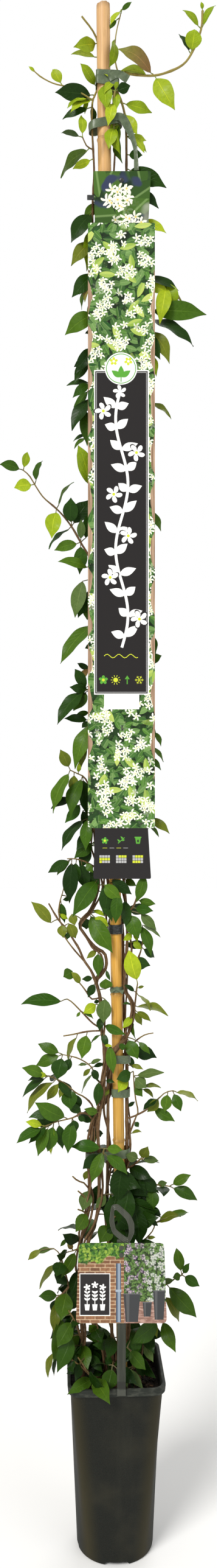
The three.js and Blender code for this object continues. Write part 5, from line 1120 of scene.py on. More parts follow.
# A blade: its thickness, the places across it, its fold and fullness, and where the tip begins
BLADE_THICKNESS = 0.45
SIDES = (-1.0, -0.5, 0.0, 0.5, 1.0)
FOLD, FULLNESS, TIP_FROM = 0.13, 0.99, 0.72
STILL_GREEN = Vector((0.170, 0.220, 0.030))


def heading(places, k):
    """The direction of a line of places at one of them."""
    return (places[min(k + 1, len(places) - 1)] - places[max(k - 1, 0)]).normalized()


class Growth(Skin):
    """A skin of wood, stalks and blades; each face has a kind and each point a place on the veins."""

    def __init__(self):
        super().__init__()
        self.veins, self.kinds = [], []

    def tube(self, middles, radii, tones, sides):
        """A round tube, of the first kind, with a tapering end."""
        side = Vector((0, 1, 0))
        rings = []
        for k, (middle, radius) in enumerate(zip(middles, radii)):
            along = heading(middles, k)
            side = (side - along * side.dot(along)).normalized()
            across = along.cross(side)
            angles = [2 * math.pi * i / sides for i in range(sides)]
            rings.append([middle + (side * math.cos(a) + across * math.sin(a)) * radius for a in angles])
        self.join(rings)
        self.tones += [tone for tone in tones for _ in range(sides)]
        self.veins += [(0.5, 0.0)] * (sides * len(rings))
        self.kinds += [0] * (len(self.faces) - len(self.kinds))

    def blade(self, base, tip, leaf, tone, draw, stations, showing_under):
        """A thin, folded and arched blade, whose faces are of the second and third kind."""
        along = tip - base
        length = along.length
        along.normalize()
        across = leaf["normal"].cross(along).normalized()
        normal = along.cross(across)
        ripple, phase = draw.uniform(0.015, 0.05), draw.uniform(0, 6.3)
        fold = FOLD * draw.uniform(0.5, 1.5)
        sway = draw.uniform(-0.035, 0.035) * length
        twist = draw.uniform(-0.18, 0.18)
        curl = draw.uniform(0.0, 0.07) * length
        rings = []
        for k in range(stations + 1):
            share = (k / stations) ** 0.9
            full = max(0.012, math.sin(math.pi * min(1.0, share) ** 0.88)) ** 0.86
            drawn_out = max(0.0, (share - TIP_FROM) / (1 - TIP_FROM))
            half = FULLNESS * leaf["width"] / 2 * full * (1 - 0.45 * drawn_out)
            slope = leaf["age"] * 4 * (1 - 2 * share)
            turn = Quaternion(along, twist * share)
            outward, upright = turn @ across, turn @ (normal - along * slope).normalized()
            bow = math.sin(math.pi * share)
            middle = base.lerp(tip, share) + normal * (leaf["age"] * length * bow * 0.98)
            middle += across * sway * bow
            middle -= UP * (curl * drawn_out ** 2)
            ring = []
            for face, sides in ((1, SIDES), (-1, SIDES[::-1])):
                for side in sides:
                    lift = fold * half * (abs(side) ** 1.4 - 0.45)
                    lift += ripple * leaf["width"] * abs(side) * math.sin(phase + share * 13 + side)
                    lift += face * BLADE_THICKNESS * (0.5 - 0.28 * abs(side))
                    ring.append(over_rim(middle + outward * (side * half) + upright * lift, face))
                    self.veins.append((0.5 + side / 2, share))
            rings.append(ring)
            fresh = 0.85 * share ** 1.5 if leaf["age"] == B else 0.0
            self.tones += [tone.lerp(STILL_GREEN, fresh)] * len(ring)
        self.join(rings, flipped=True)
        above, below = (2, 1) if showing_under else (1, 2)
        self.kinds += ([above] * (len(SIDES) - 1) + [below] * (len(SIDES) + 1)) * stations + [1, 1]

    def piece(self, name, materials, crisp):
        """The mesh of all that has grown, with a material for each kind."""
        made = super().piece(name, materials[0], crisp, outward=False)
        for material in materials[1:]:
            made.data.materials.append(material)
        made.data.polygons.foreach_set("material_index", self.kinds)
        layer = made.data.uv_layers.new(name="veins")
        corners = [0] * len(made.data.loops)
        made.data.loops.foreach_get("vertex_index", corners)
        layer.data.foreach_set("uv", [value for corner in corners for value in self.veins[corner]])
        return made


BARK_BROWN, BARK_RED, BARK_GREEN = (0.112, 0.060, 0.024), (0.062, 0.028, 0.014), (0.290, 0.235, 0.055)
BARK_RIDGE, BARK_PATCH = (0.27, 0.18, 0.095), (0.30, 0.17, 0.09)
STALK_BROWN, STALK_GREEN = (0.120, 0.085, 0.030), (0.190, 0.230, 0.045)
LEAF_GLOSS, LEAF_SIDE_VEINS = 0.12, 9.0
LEAF_PALE, LEAF_MOTTLE, LEAF_VEIN = (0.10, 0.15, 0.045), (0.55, 0.62, 0.4), (1.8, 1.55, 1.9)
AGE_AND_LIGHT_TONES = {
    # dark: mature leaves, and painted shade on those inside the foliage
    D: ((0.008, 0.028, 0.003), (0.020, 0.060, 0.005)),
    G: ((0.024, 0.074, 0.005), (0.068, 0.140, 0.009)),
    # pale: painted sheen, the grey-green where glossy leaves catch the light
    P: ((0.050, 0.098, 0.018), (0.095, 0.150, 0.034)),
    O: ((0.100, 0.130, 0.010), (0.165, 0.200, 0.018)),
    Y: ((0.190, 0.285, 0.008), (0.360, 0.450, 0.018)),
    B: ((0.190, 0.105, 0.036), (0.290, 0.165, 0.060)),
}

skin = Finish("bark", 0.72, 0.25)
ridge = skin.place.cloud(900.0, 4.0, (1.0, 1.0, 0.16))
patch = skin.place.cloud(130.0, 5.0)
tone = mixed(ridge.between(0.48, 0.7) * 0.55, skin.own_tone(), BARK_RIDGE)
tone = mixed(patch.between(0.5, 0.75) * 0.45, tone, BARK_PATCH, "MULTIPLY")
bark = skin.coloured(tone, ridge, 0.0006, 0.7)

skin = Finish("stalk_green", 0.5, 0.3)
stalk_green = skin.coloured(skin.own_tone())


def leaf_finish(name, roughness, vein_share, midrib_share, pale_share):
    """A leaf's surface: its own tone with a midrib, side veins and faint mottling."""
    leaf = Finish(name, roughness, LEAF_GLOSS)
    vein_place = Reading(node(leaf.tree, "UVMap", uv_map="veins").outputs[0])
    aside, along = abs(vein_place.axis("X") - 0.5), vein_place.axis("Y")
    midrib = (aside + along * 0.014).between(0.040, 0.014)
    step = ((along - aside * 0.42) * LEAF_SIDE_VEINS).sum("FRACT")
    side_vein = abs(step - 0.5).between(0.10, 0.02)
    mottle = leaf.place.cloud(260.0, 4.0)
    tone = mixed(pale_share, leaf.own_tone(), LEAF_PALE)
    tone = mixed(mottle.between(0.4, 0.7) * 0.35, tone, LEAF_MOTTLE, "MULTIPLY")
    veined = (side_vein * vein_share).sum("MAXIMUM", midrib * midrib_share)
    tone = mixed(veined, tone, mixed(1.0, tone, LEAF_VEIN, "MULTIPLY"))
    return leaf.coloured(tone, side_vein * -0.5 - midrib + mottle * 0.6, 0.0005, 0.45)


leaf_upper = leaf_finish("leaf_upper", 0.33, 0.10, 0.85, 0.0)
leaf_under = leaf_finish("leaf_under", 0.5, 0.22, 0.9, 0.3)


def wood_tone(point, radius):
    """Bark's own colour: red at the soil, brown above, and green where it is thin or young."""
    green = max(limited((1.1 - radius) / 0.5, 0.35), limited((point.z - 1800) / 70))
    tone = Vector(BARK_BROWN).lerp(Vector(BARK_GREEN), green)
    return tone.lerp(Vector(BARK_RED), limited((262 - point.z) / 50))


BEHIND_CANE = Vector((6, 11, 0))
BEHIND_FROM, BEHIND_TO = 1866, 1966


def beside_cane(point, radius):
    """The point, pushed out of the cane where a shoot would cut into it."""
    away = Vector((point.x - cane_axis(point.z), point.y, 0))
    short = cane_radius(point.z) + radius - away.length
    return point + away.normalized() * short if short > 0 and point.z < CANE_TOP else point


def twiner(middles, radii, low, high, radius, pitch, phase, looseness):
    """The middle line of a shoot that winds around another."""
    places = []
    for middle, core in zip(middles, radii):
        if low <= middle.z <= high:
            angle = phase + 2 * math.pi * middle.z / pitch + 0.8 * noise.noise(middle * 0.02)
            loose = looseness * (0.5 + noise.noise(middle * 0.035 + Vector((phase, 0, 0))))
            ease = min(1.0, (middle.z - low) / 40, (high - middle.z) / 40)
            out = Vector((math.cos(angle), math.sin(angle), 0))
            places.append(beside_cane(middle + out * ((core + radius * 0.7 + loose) * ease), radius))
    return places


SHADED_BELOW, SHADED_SHARE = 500, 0.72
STALK_RADII = [0.85, 0.75, 0.7, 0.65, 0.6, 0.35]
all_wood = []
for name, shoots, leaves, back_leaves, seed in STEMS:
    for foot_radius, tip_radius, places in shoots:
        all_wood += spaced([sighted(*place) for place in places], WOOD_STEP)
attach_anywhere = finder(all_wood)

for name, shoots, leaves, back_leaves, seed in STEMS:
    wood, foliage = Growth(), Growth()
    cad_wood, fine_wood = [], []
    for i, (foot_radius, tip_radius, places) in enumerate(shoots):
        points = [sighted(*place) for place in places]
        if i == 0:
            points.insert(0, Vector((points[0].x, points[0].y, ROOT_END)))
        cad_wood.append(points if i == 0 else spaced(points, SHOOT_STEP))
        middles = spaced(points, WOOD_STEP)
        if i == 0 and name == "stem_middle":
            for middle in middles:
                share = min((middle.z - BEHIND_FROM) / 24, (BEHIND_TO - middle.z) / 16)
                middle += BEHIND_CANE * limited(share)
        radii = []
        for k, middle in enumerate(middles):
            radius = foot_radius + (tip_radius - foot_radius) * k / (len(middles) - 1)
            middle = middles[k] = beside_cane(middle, radius)
            rough = 0.09 * noise.noise(middle * 0.11) + 0.05 * noise.noise(middle * 0.4)
            radii.append(radius * (1 + rough + 0.22 * hump(k % 8 - 4, 0.9)))
        wood.tube(middles, radii, [wood_tone(*spot) for spot in zip(middles, radii)], WOOD_SIDES)
        fine_wood += middles
        for low, high, radius, pitch, phase, looseness in TWINERS[name] if i == 0 else ():
            places = twiner(middles, radii, low, high, radius, pitch, phase, looseness)
            around = [radius * (1 + 0.25 * noise.noise(place * 0.2)) for place in places]
            wood.tube(places, around, [wood_tone(place, 2.0) for place in places], TWINER_SIDES)
    attach = finder(fine_wood)

    # the large leaves of the table stand as in the solid, the rest clear of the fixed pieces
    cad_tree = finder([vertex.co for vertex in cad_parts[name].data.vertices])
    draw, spare = drawing(seed), drawing(seed + 100)
    grown = []
    for row in leaves:
        length = math.hypot(row[2] - row[0], row[3] - row[1])
        large = length >= LEAST_LENGTH and length * row[4] >= LEAST_FACE
        bent = table_leaf(cad_wood, row, draw if large else spare)
        leaf = as_in_cad(bent, cad_tree) if large else None
        grown.append(as_wide_as_seen(leaf or clear_of_fixed(bent) or bent(BENDS[0])))
    hidden = [point for point in cad_wood[0] if any(low < point.z < high for low, high in BACK_HEIGHTS)]
    for start in hidden[::BACK_EVERY]:
        for _ in range(back_leaves):
            grown.append(as_in_cad(back_leaf(start, draw), cad_tree))

    chance, scatter = random.Random(seed), random.Random(seed + 40)
    for low, high, count, *ranges in FILLERS[name]:
        nearby = [point for point in fine_wood if low < point.z < high]
        for _ in range(count):
            grown.append(clear_of_fixed(filler_leaf(scatter.choice(nearby), scatter, *ranges)))
    for row in INNER_LEAVES[name]:
        bent = table_leaf(cad_wood, row, spare)
        grown.append(clear_of_fixed(bent) or bent(BENDS[0]))

    for leaf in filter(None, grown):
        low_tone, high_tone = AGE_AND_LIGHT_TONES[leaf["age"]]
        tone = Vector(low_tone).lerp(Vector(high_tone), chance.random()) * chance.uniform(0.88, 1.12)
        tip = leaf["tip"]
        start = attach.find(leaf["start"])[0]
        if (leaf["base"] - start).length > LONGEST_STALK:
            start = attach_anywhere.find(leaf["base"])[0]
        if start.z < SHADED_BELOW:
            tone = tone * SHADED_SHARE
        base = leaf["base"]
        if from_wood(leaf):
            base = start.lerp(tip, min(0.16, 5.5 / (tip - start).length))
        reach = (base - start).length
        stalk = [start.lerp(base, k / 4) + UP * (0.06 * reach * math.sin(math.pi * k / 4)) for k in range(5)]
        stalk.append(base.lerp(tip, 0.06) + leaf["normal"] * (0.2 * leaf["age"] * (tip - base).length))
        stalk_tone = Vector(STALK_BROWN).lerp(Vector(STALK_GREEN), limited((start.z - 1500) / 300))
        foliage.tube(stalk, STALK_RADII, [stalk_tone.lerp(tone, 0.25)] * len(stalk), STALK_SIDES)
        stations = max(8, min(16, round((tip - base).length / 3.2)))
        # pale leaves, whose tone is painted sheen, turn their paler underside to the eye
        foliage.blade(base, tip, leaf, tone, chance, stations, leaf["age"] == P)

    wood_piece = wood.piece(name + "_wood", [bark], 60)
    leaf_piece = foliage.piece(name + "_leaves", [stalk_green, leaf_upper, leaf_under], 50)
    for piece in (wood_piece, leaf_piece):
        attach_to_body(piece, "root")
        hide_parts(name)


# ---- tape ties and the cane clip --------------------------------------------------------------
# Soft grey-green plastic tape holds the stems to the cane at six heights. It is wound on by a
# tying machine, so it is creased and its ends stand off. A black hard plastic clip sits between.

TAPE_THICKNESS, TAPE_CREASE = 0.5, 0.7
TAPE_FRONT, TAPE_BACK = -7.9, 7.9
TAPE_PLANE = -9
TAPE_DARK, TAPE_LIGHT, TAPE_GRAIN = (0.064, 0.090, 0.048), (0.115, 0.150, 0.085), (0.125, 0.165, 0.10)
CLIP_THICKNESS, CLIP_CREASE, CLIP_TEETH = 1.3, 0.05, (-3.4, 3.4)
CLIP_DARK, CLIP_LIGHT = (0.012, 0.014, 0.014), (0.035, 0.040, 0.040)
TIES = {
    "tie_top": {
        "turns": [
            dict(left=-24.1, right=4.6, front=-8.9, back=9.9, z=1893.5, height=11, tilt=-11, corner=3,
                 grow=0.5),
            dict(left=-24.1, right=4.6, front=-8.9, back=9.9, z=1902.5, height=11, tilt=-3, corner=3,
                 grow=0.1),
        ],
        "tail": dict(places=[[-8, 1897], [4, 1902], [17, 1895]], depth=-9.9, halves=[5, 5, 5.5]),
    },
    "tie_upper": {
        "turns": [dict(left=-33.4, right=9, front=-9, back=9, z=1841, height=11.5, tilt=12)],
        "tail": dict(places=[[-4, 1846], [8, 1846], [19, 1828], [26, 1808], [28, 1777]], depth=-10.1,
                     halves=[4.5, 5.5, 3.4, 2.4, 3.2]),
    },
    "tie_twisted": {
        "turns": [dict(left=-5.6, right=10.1, z=713.5, height=7, tilt=3)],
        "tail": dict(places=[[-6, 712], [-1, 714], [2, 716], [6, 713], [11, 711]], depth=-9.2,
                     halves=[3, 1.1, 2.6, 1.1, 3]),
    },
    "tie_middle": {"turns": [dict(left=-4.3, right=19.6, z=623, height=10.5, corner=6)]},
    "tie_lower": {"turns": [dict(left=-3.7, right=19, z=579, height=10.5, tilt=-1, corner=6)]},
    "tie_long": {"turns": [dict(left=-37.6, right=18.4, back=10.4, z=498, height=11, tilt=6, corner=6)]},
}
CLIP_TURN = dict(left=-7.8, right=8.8, front=-7.7, back=7.7, z=792, height=12)


def round_path(left, right, front, back, corner, steps=7):
    """A rounded rectangle seen from above, as points and their outward directions."""
    corner = min(corner, (right - left) / 2 - 0.1, (back - front) / 2 - 0.1)
    stops = []
    quarters = ((right - corner, back - corner), (left + corner, back - corner),
                (left + corner, front + corner), (right - corner, front + corner))
    for quarter, (x, y) in enumerate(quarters):
        for i in range(steps + 1):
            angle = math.pi / 2 * (quarter + i / steps)
            out = Vector((math.cos(angle), math.sin(angle), 0))
            stops.append((Vector((x, y, 0)) + out * corner, out))
    path = []
    for (point, out), (onward, onward_out) in zip(stops, stops[1:] + stops[:1]):
        count = max(1, round((onward - point).length / 2.2))
        for share in (i / count for i in range(count)):
            path.append((point.lerp(onward, share), out.lerp(onward_out, share).normalized()))
    return path


def tape_turn(skin, thickness, crease, left, right, z, height,
              front=TAPE_FRONT, back=TAPE_BACK, tilt=0, corner=20, grow=0.15):
    """One closed turn of tape round the cane and the stems beside it."""
    grow += thickness / 2
    middle = (left + right) / 2
    lean = math.tan(math.radians(tilt))
    level = sighted(0, z, TAPE_PLANE).z
    across = [k / 6 - 0.5 for k in range(7)]
    rings = []
    for place, out in round_path(left - grow, right + grow, front - grow, back + grow, corner + grow):
        ring = []
        for face, shares in ((1, across), (-1, across[::-1])):
            for share in shares:
                rise = height * (share + crease * 0.05 * noise.noise(place * 0.13))
                rise += (place.x - middle) * lean
                fold = crease * noise.noise(Vector((place.x * 0.11, place.y * 0.11, share * 1.5 + z)))
                fold = max(-0.1, fold) + 0.1 * crease * math.cos(share * 6.3)
                ring.append(place + out * (fold + face * thickness / 2) + UP * (level + rise))
        rings.append(ring)
    skin.join(rings, circle=True)


def tape_tail(skin, thickness, places, depth, halves):
    """A loose end of tape in front of the cane."""
    middles = spaced([sighted(x, z, depth) for x, z in places], 1.6)
    rings = []
    for k, middle in enumerate(middles):
        across = heading(middles, k).cross(FRONT).normalized()
        spot = k / (len(middles) - 1) * (len(halves) - 1)
        low = min(int(spot), len(halves) - 2)
        half = halves[low] + (halves[low + 1] - halves[low]) * (spot - low)
        ring = []
        for face, sides in ((1, SIDES), (-1, SIDES[::-1])):
            for side in sides:
                cup = 0.5 * abs(side) + 0.5 * noise.noise(Vector((k * 0.35, side, depth)))
                ring.append(middle + across * (side * half) + FRONT * (cup + face * thickness / 2))
        rings.append(ring)
    skin.join(rings)


skin = Finish("tie_tape", 0.3, 0.35)
mist, grain = skin.place.cloud(90.0), skin.place.cloud(500.0, 3.0, (1.0, 1.0, 3.0))
tone = mixed(mist.between(0.3, 0.7), TAPE_DARK, TAPE_LIGHT)
tone = mixed(grain.between(0.45, 0.8), tone, TAPE_GRAIN)
tie_tape = skin.coloured(tone, mist + grain, 0.0003, 0.3)

for name, tie in TIES.items():
    band = Skin()
    for turn in tie["turns"]:
        tape_turn(band, TAPE_THICKNESS, TAPE_CREASE, **turn)
    if "tail" in tie:
        tape_tail(band, TAPE_THICKNESS, **tie["tail"])
    piece = band.piece(name + "_tape", tie_tape, crisp=45)
    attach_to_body(piece, "root")
    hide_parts(name)


def upright_box(skin, x0, x1, y0, y1, z0, z1, bevel=0.3):
    """A box with bevelled edges all round."""
    rings = []
    for z, inset in ((z0, bevel), (z0 + bevel, 0), (z1 - bevel, 0), (z1, bevel)):
        left, right, front, back = x0 + inset, x1 - inset, y0 + inset, y1 - inset
        ring = [(left + bevel, front), (right - bevel, front), (right, front + bevel), (right, back - bevel)]
        ring += [(right - bevel, back), (left + bevel, back), (left, back - bevel), (left, front + bevel)]
        rings.append([Vector((x, y, z)) for x, y in ring])
    skin.join(rings)


skin = Finish("black_plastic", 0.35)
grain = skin.place.cloud(400.0, 4.0)
tone = mixed(grain.between(0.4, 0.7), CLIP_DARK, CLIP_LIGHT)
black_plastic = skin.coloured(tone, grain, 0.0002, 0.5)

clip_level = sighted(0, CLIP_TURN["z"], TAPE_PLANE).z
clip = Skin()
tape_turn(clip, CLIP_THICKNESS, CLIP_CREASE, **CLIP_TURN)
for tooth in CLIP_TEETH:
    upright_box(clip, 1.0, 7.2, -10.0, -8.7, clip_level + tooth - 1.2, clip_level + tooth + 1.2)
piece = clip.piece("cane_clip_ring", black_plastic, crisp=38)
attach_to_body(piece, "root")
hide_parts("cane_clip")


# ---- hanging label and its tie ----------------------------------------------------------------
# A long printed plastic card hangs in front of the cane from a black strap with a push button.
# The picture shows flowering foliage between strips of timber; the plain parts are inked on top.

LABEL_DEPTH, LABEL_THICKNESS = -15.8, 0.7
LABEL_FRONT = LABEL_DEPTH - LABEL_THICKNESS / 2
LABEL_HOLE, LABEL_HOLE_RADIUS = (8.7, 1764), 2.4
LABEL_STRAP_THICKNESS, LABEL_STRAP_CREASE = 0.9, 0.08
LABEL_STRAP = dict(left=-21.6, right=10.6, front=-12.8, back=9, z=1744, height=6.5, corner=5)
KNOB_SIDES = 28


def turned_knob(skin, x, z, profile):
    """A round part about an axis along Y, from (y, radius) stations."""
    turns = [2 * math.pi * i / KNOB_SIDES for i in range(KNOB_SIDES)]
    skin.join([[Vector((x + radius * math.cos(turn), y, z + radius * math.sin(turn))) for turn in turns]
               for y, radius in profile])


hole = sighted(*LABEL_HOLE, LABEL_DEPTH)
strap_level = sighted(0, LABEL_STRAP["z"], TAPE_PLANE).z
strap_left, strap_front = LABEL_STRAP["left"], LABEL_STRAP["front"]
lug_front = strap_front - LABEL_STRAP_THICKNESS
strap = Skin()
tape_turn(strap, LABEL_STRAP_THICKNESS, LABEL_STRAP_CREASE, **LABEL_STRAP)
upright_box(strap, hole.x - 4, hole.x + 2.6, lug_front, strap_front, strap_level - 2, hole.z + 3)
upright_box(strap, -36, strap_left + 2, -5.8, -4.4, strap_level - 3.2, strap_level + 3.2)
button = [(lug_front + 0.5, -0.4), (LABEL_FRONT - 0.3, -0.4), (LABEL_FRONT - 0.3, 0.7)]
button += [(LABEL_FRONT - 0.8, 0.7), (LABEL_FRONT - 1.2, 0.2), (LABEL_FRONT - 1.4, -1)]
turned_knob(strap, hole.x, hole.z, [(y, LABEL_HOLE_RADIUS + wider) for y, wider in button])
piece = strap.piece("label_strap", black_plastic, crisp=38)
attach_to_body(piece, "root")
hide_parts("label_tie")

# The printed foliage, from the bottom layer up: [size of a cell, shift, half the length and half
# the width of a leaf, its dark and light tone, the share of cells that have one], in metres
PRINT_SHADE, PRINT_GREEN, PRINT_SHEEN = (0.005, 0.014, 0.004), (0.022, 0.068, 0.014), (0.50, 0.58, 0.26)
PRINT_MIDRIB = (0.30, 0.45, 0.16)
PRINTED_LEAVES = [
    (0.0150, (0.003, 0.011, 0), 0.0125, 0.0052, (0.011, 0.046, 0.012), (0.060, 0.160, 0.032), 0.8),
    (0.0120, (0.041, 0.027, 0), 0.0105, 0.0044, (0.018, 0.080, 0.015), (0.165, 0.300, 0.085), 0.7),
    (0.0105, (0.013, 0.053, 0), 0.0085, 0.0034, (0.009, 0.042, 0.012), (0.085, 0.215, 0.030), 0.6),
    (0.0190, (0.067, 0.005, 0), 0.0120, 0.0042, (0.240, 0.390, 0.045), (0.530, 0.620, 0.150), 0.36),
]
PRINTED_FLOWERS = ((0.0088, (0.0, 0.0, 0)), (0.0075, (0.031, 0.017, 0)))
FLOWER_RADIUS, FLOWER_WHITE, FLOWER_EYE = 0.0066, (0.86, 0.87, 0.76), (0.80, 0.74, 0.35)
PETAL_SHADE = (0.72, 0.76, 0.60)
TIMBER_DARK, TIMBER_LIGHT = (0.235, 0.140, 0.085), (0.500, 0.345, 0.235)
LABEL_LEFT, LABEL_RIGHT = -35, 52
TIMBER_TOP, TIMBER_FOOT = 1650, 985
TABS_FROM, TAB_EDGE = (1709, 924), 0.0003
TAB_SHADE, TAB_GREEN = (0.006, 0.022, 0.006), (0.035, 0.090, 0.015)
TAB_BLUR, TAB_SKY = (0.50, 0.50, 0.42), (0.028, 0.040, 0.085)
TAB_LEAVES = (0.034, (0.011, 0.004, 0), 0.031, 0.013, (0.010, 0.040, 0.005), (0.055, 0.130, 0.014), 1.1)
TAB_FLOWERS = ((0.0135, (0.0, 0.0, 0)), (0.0120, (0.0, 0.0, 0)))
TAB_RADIUS, TAB_WHITE, TAB_EYE = 0.0092, (0.90, 0.88, 0.74), (0.74, 0.55, 0.13)
TAB_HEADS = ((8, 1741, 23, 17), (20, 1708, 24, 10))
CHARCOAL = (0.0165, 0.0145, 0.0150)


def in_cells(place, cell, shift):
    """A place in its cell, turned at random, with three chances of the cell and its middle."""
    moved = place.node("VectorMath", {0: place, 1: shift})
    layout = {"Vector": moved, "Scale": 1 / cell, "Randomness": 0.9}
    middle, colour = moved.node("TexVoronoi", layout, "Position", "Color", voronoi_dimensions="2D")
    local = moved.node("VectorMath", {0: moved, 1: middle}, operation="SUBTRACT")
    chances = colour.node("SeparateColor", {"Color": colour}, 0, 1, 2)
    spin = {"Vector": local, "Angle": chances[0] * 6.283}
    turned = local.node("VectorRotate", spin, rotation_type="Z_AXIS")
    return turned.axis("X"), turned.axis("Y"), chances, middle


def printed_leaves(place, under, cell, shift, half_length, half_width, dark, light, share):
    """Leaves printed over a colour, one in some of the cells."""
    along, across, chances, _ = in_cells(place, cell, shift)
    aside = across / half_width
    spare = 1.0 - abs(along / half_length).sum("POWER", 2.0) - abs(aside)
    shape = spare.between(0.0, 0.12) * chances[2].between(share, share - 0.05)
    tone = mixed(chances[1], dark, light)
    tone = mixed(aside.between(-0.15, 0.25) * 0.5, tone, light)
    tone = mixed(abs(aside).between(0.16, 0.04) * 0.4, tone, PRINT_MIDRIB)
    return mixed(shape, under, tone)


def printed_flowers(place, under, cell, shift, radius, petal, eye, heads):
    """Five-petalled star flowers printed over a colour, in clusters where heads is high."""
    along, across, _, middle = in_cells(place, cell, shift)
    span = (along * along + across * across).sum("SQRT")
    turn = across.sum("ARCTAN2", along) + span * (0.5 / radius)
    lobes = abs((turn * 2.5).sum("COSINE")).sum("POWER", 2.0)
    edge = (lobes * 0.8 + 0.2) * radius
    shape = (edge - span).between(0.0, 0.1 * radius) * heads(middle)
    shade = mixed(span.between(0.0, 0.55 * radius), PETAL_SHADE, petal)
    shade = mixed(span.between(0.17 * radius, 0.10 * radius), shade, eye)
    return mixed(shape, under, shade)


def cluster(middle, spacing, randomness, low, high):
    """Where flowers stand together, round points a spacing apart."""
    layout = {"Vector": middle, "Scale": 1 / spacing, "Randomness": randomness}
    return middle.node("TexVoronoi", layout, "Distance", voronoi_dimensions="2D").between(low, high)


def flower_heads(middle):
    return cluster(middle, 0.030, 0.85, 0.32, 0.28)


def tab_heads(middle):
    """Where the large flowers stand together on the upper tab."""
    parts = []
    for x, z, reach_x, reach_z in TAB_HEADS:
        centre = on_label(x, z)
        away = middle.node("VectorMath", {0: middle, 1: (centre.x, centre.z, 0)}, operation="SUBTRACT")
        reach = (1 / MM / reach_x, 1 / MM / reach_z, 0)
        away = away.node("VectorMath", {0: away, 1: reach}, operation="MULTIPLY")
        parts.append(away.node("VectorMath", {0: away}, "Value", operation="LENGTH").between(1.0, 0.9))
    return parts[0].sum("MAXIMUM", parts[1])


def timber_strip(inward, up, widest, period):
    """1 on a timber strip with a scalloped inner edge, at a distance inward from the card's edge."""
    tall = up.node("CombineXYZ", {"X": up, "Y": period, "Z": 0.0})
    wave = (up * (math.pi / period) + tall.cloud(34.0, 1.0) * 5.0).sum("SINE")
    return ((wave * 0.5 + 0.5) * widest - inward).between(0.0, 0.0004)


def on_label(x, z):
    """A place on the label's front, in metres."""
    return sighted(x, z, LABEL_FRONT) * MM


def laid_flat(card):
    """How far across and how far up a card's places lie, and both in one place laid flat."""
    x, z = card.place.axis("X"), card.place.axis("Z")
    return x, z, x.node("CombineXYZ", {"X": x, "Y": z, "Z": 0.0})


def print_on(name, card, tone, place):
    """Prints a card, which is faintly wavy."""
    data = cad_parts[name].data
    data.materials.clear()
    data.materials.append(card.coloured(tone, place.cloud(30.0, 2.0), 0.0006, 0.3))


card = Finish("label_print", 0.3, 0.3)
x, z, place = laid_flat(card)
tone = mixed(place.cloud(90.0, 4.0).between(0.35, 0.7), PRINT_SHADE, PRINT_GREEN)
for layer in PRINTED_LEAVES:
    tone = printed_leaves(place, tone, *layer)
tone = mixed(place.cloud(260.0, 4.0).between(0.60, 0.74) * 0.3, tone, PRINT_SHEEN)
for layer in PRINTED_FLOWERS:
    tone = printed_flowers(place, tone, *layer, FLOWER_RADIUS, FLOWER_WHITE, FLOWER_EYE, flower_heads)

grain = place.cloud(420.0, 4.0, (1.0, 0.05, 1.0))
timber = mixed(grain.between(0.3, 0.72), TIMBER_DARK, TIMBER_LIGHT)
left_strip = timber_strip(x - on_label(LABEL_LEFT, 0).x, z, 0.0062, 0.026)
right_strip = timber_strip(on_label(LABEL_RIGHT, 0).x - x, z + 0.011, 0.0058, 0.031)
on_strip = left_strip.sum("MAXIMUM", right_strip)
for edge, onward in ((TIMBER_TOP, TIMBER_TOP - 10), (TIMBER_FOOT, TIMBER_FOOT + 10)):
    on_strip = on_strip * z.between(on_label(0, edge).z, on_label(0, onward).z)
tone = mixed(on_strip, tone, timber)

# the upper tab has larger leaves and flowers against a patch of evening sky; the lower is plain
tab = mixed(place.cloud(40.0, 2.0).between(0.4, 0.62), TAB_SHADE, TAB_GREEN)
tab = printed_leaves(place, tab, *TAB_LEAVES)
tab = mixed(place.cloud(34.0, 1.0).between(0.60, 0.74) * 0.5, tab, TAB_BLUR)
tab = mixed(place.cloud(30.0, 1.0, (1.3, 1.3, 1.0)).between(0.42, 0.34), tab, TAB_SKY)
for layer in TAB_FLOWERS:
    tab = printed_flowers(place, tab, *layer, TAB_RADIUS, TAB_WHITE, TAB_EYE, tab_heads)
upper_tab, lower_tab = (on_label(0, height).z for height in TABS_FROM)
tone = mixed(z.between(upper_tab, upper_tab + TAB_EDGE), tone, tab)
tone = mixed(z.between(lower_tab, lower_tab - TAB_EDGE), tone, CHARCOAL)
print_on("hang_label", card, tone, place)

INK_STEP, INK_SINK = 0.02, 0.06


def inset(box, width):
    """A box of left, right, foot and top, made smaller by a width on each side."""
    left, right, foot, top = box
    return left + width, right - width, foot + width, top - width


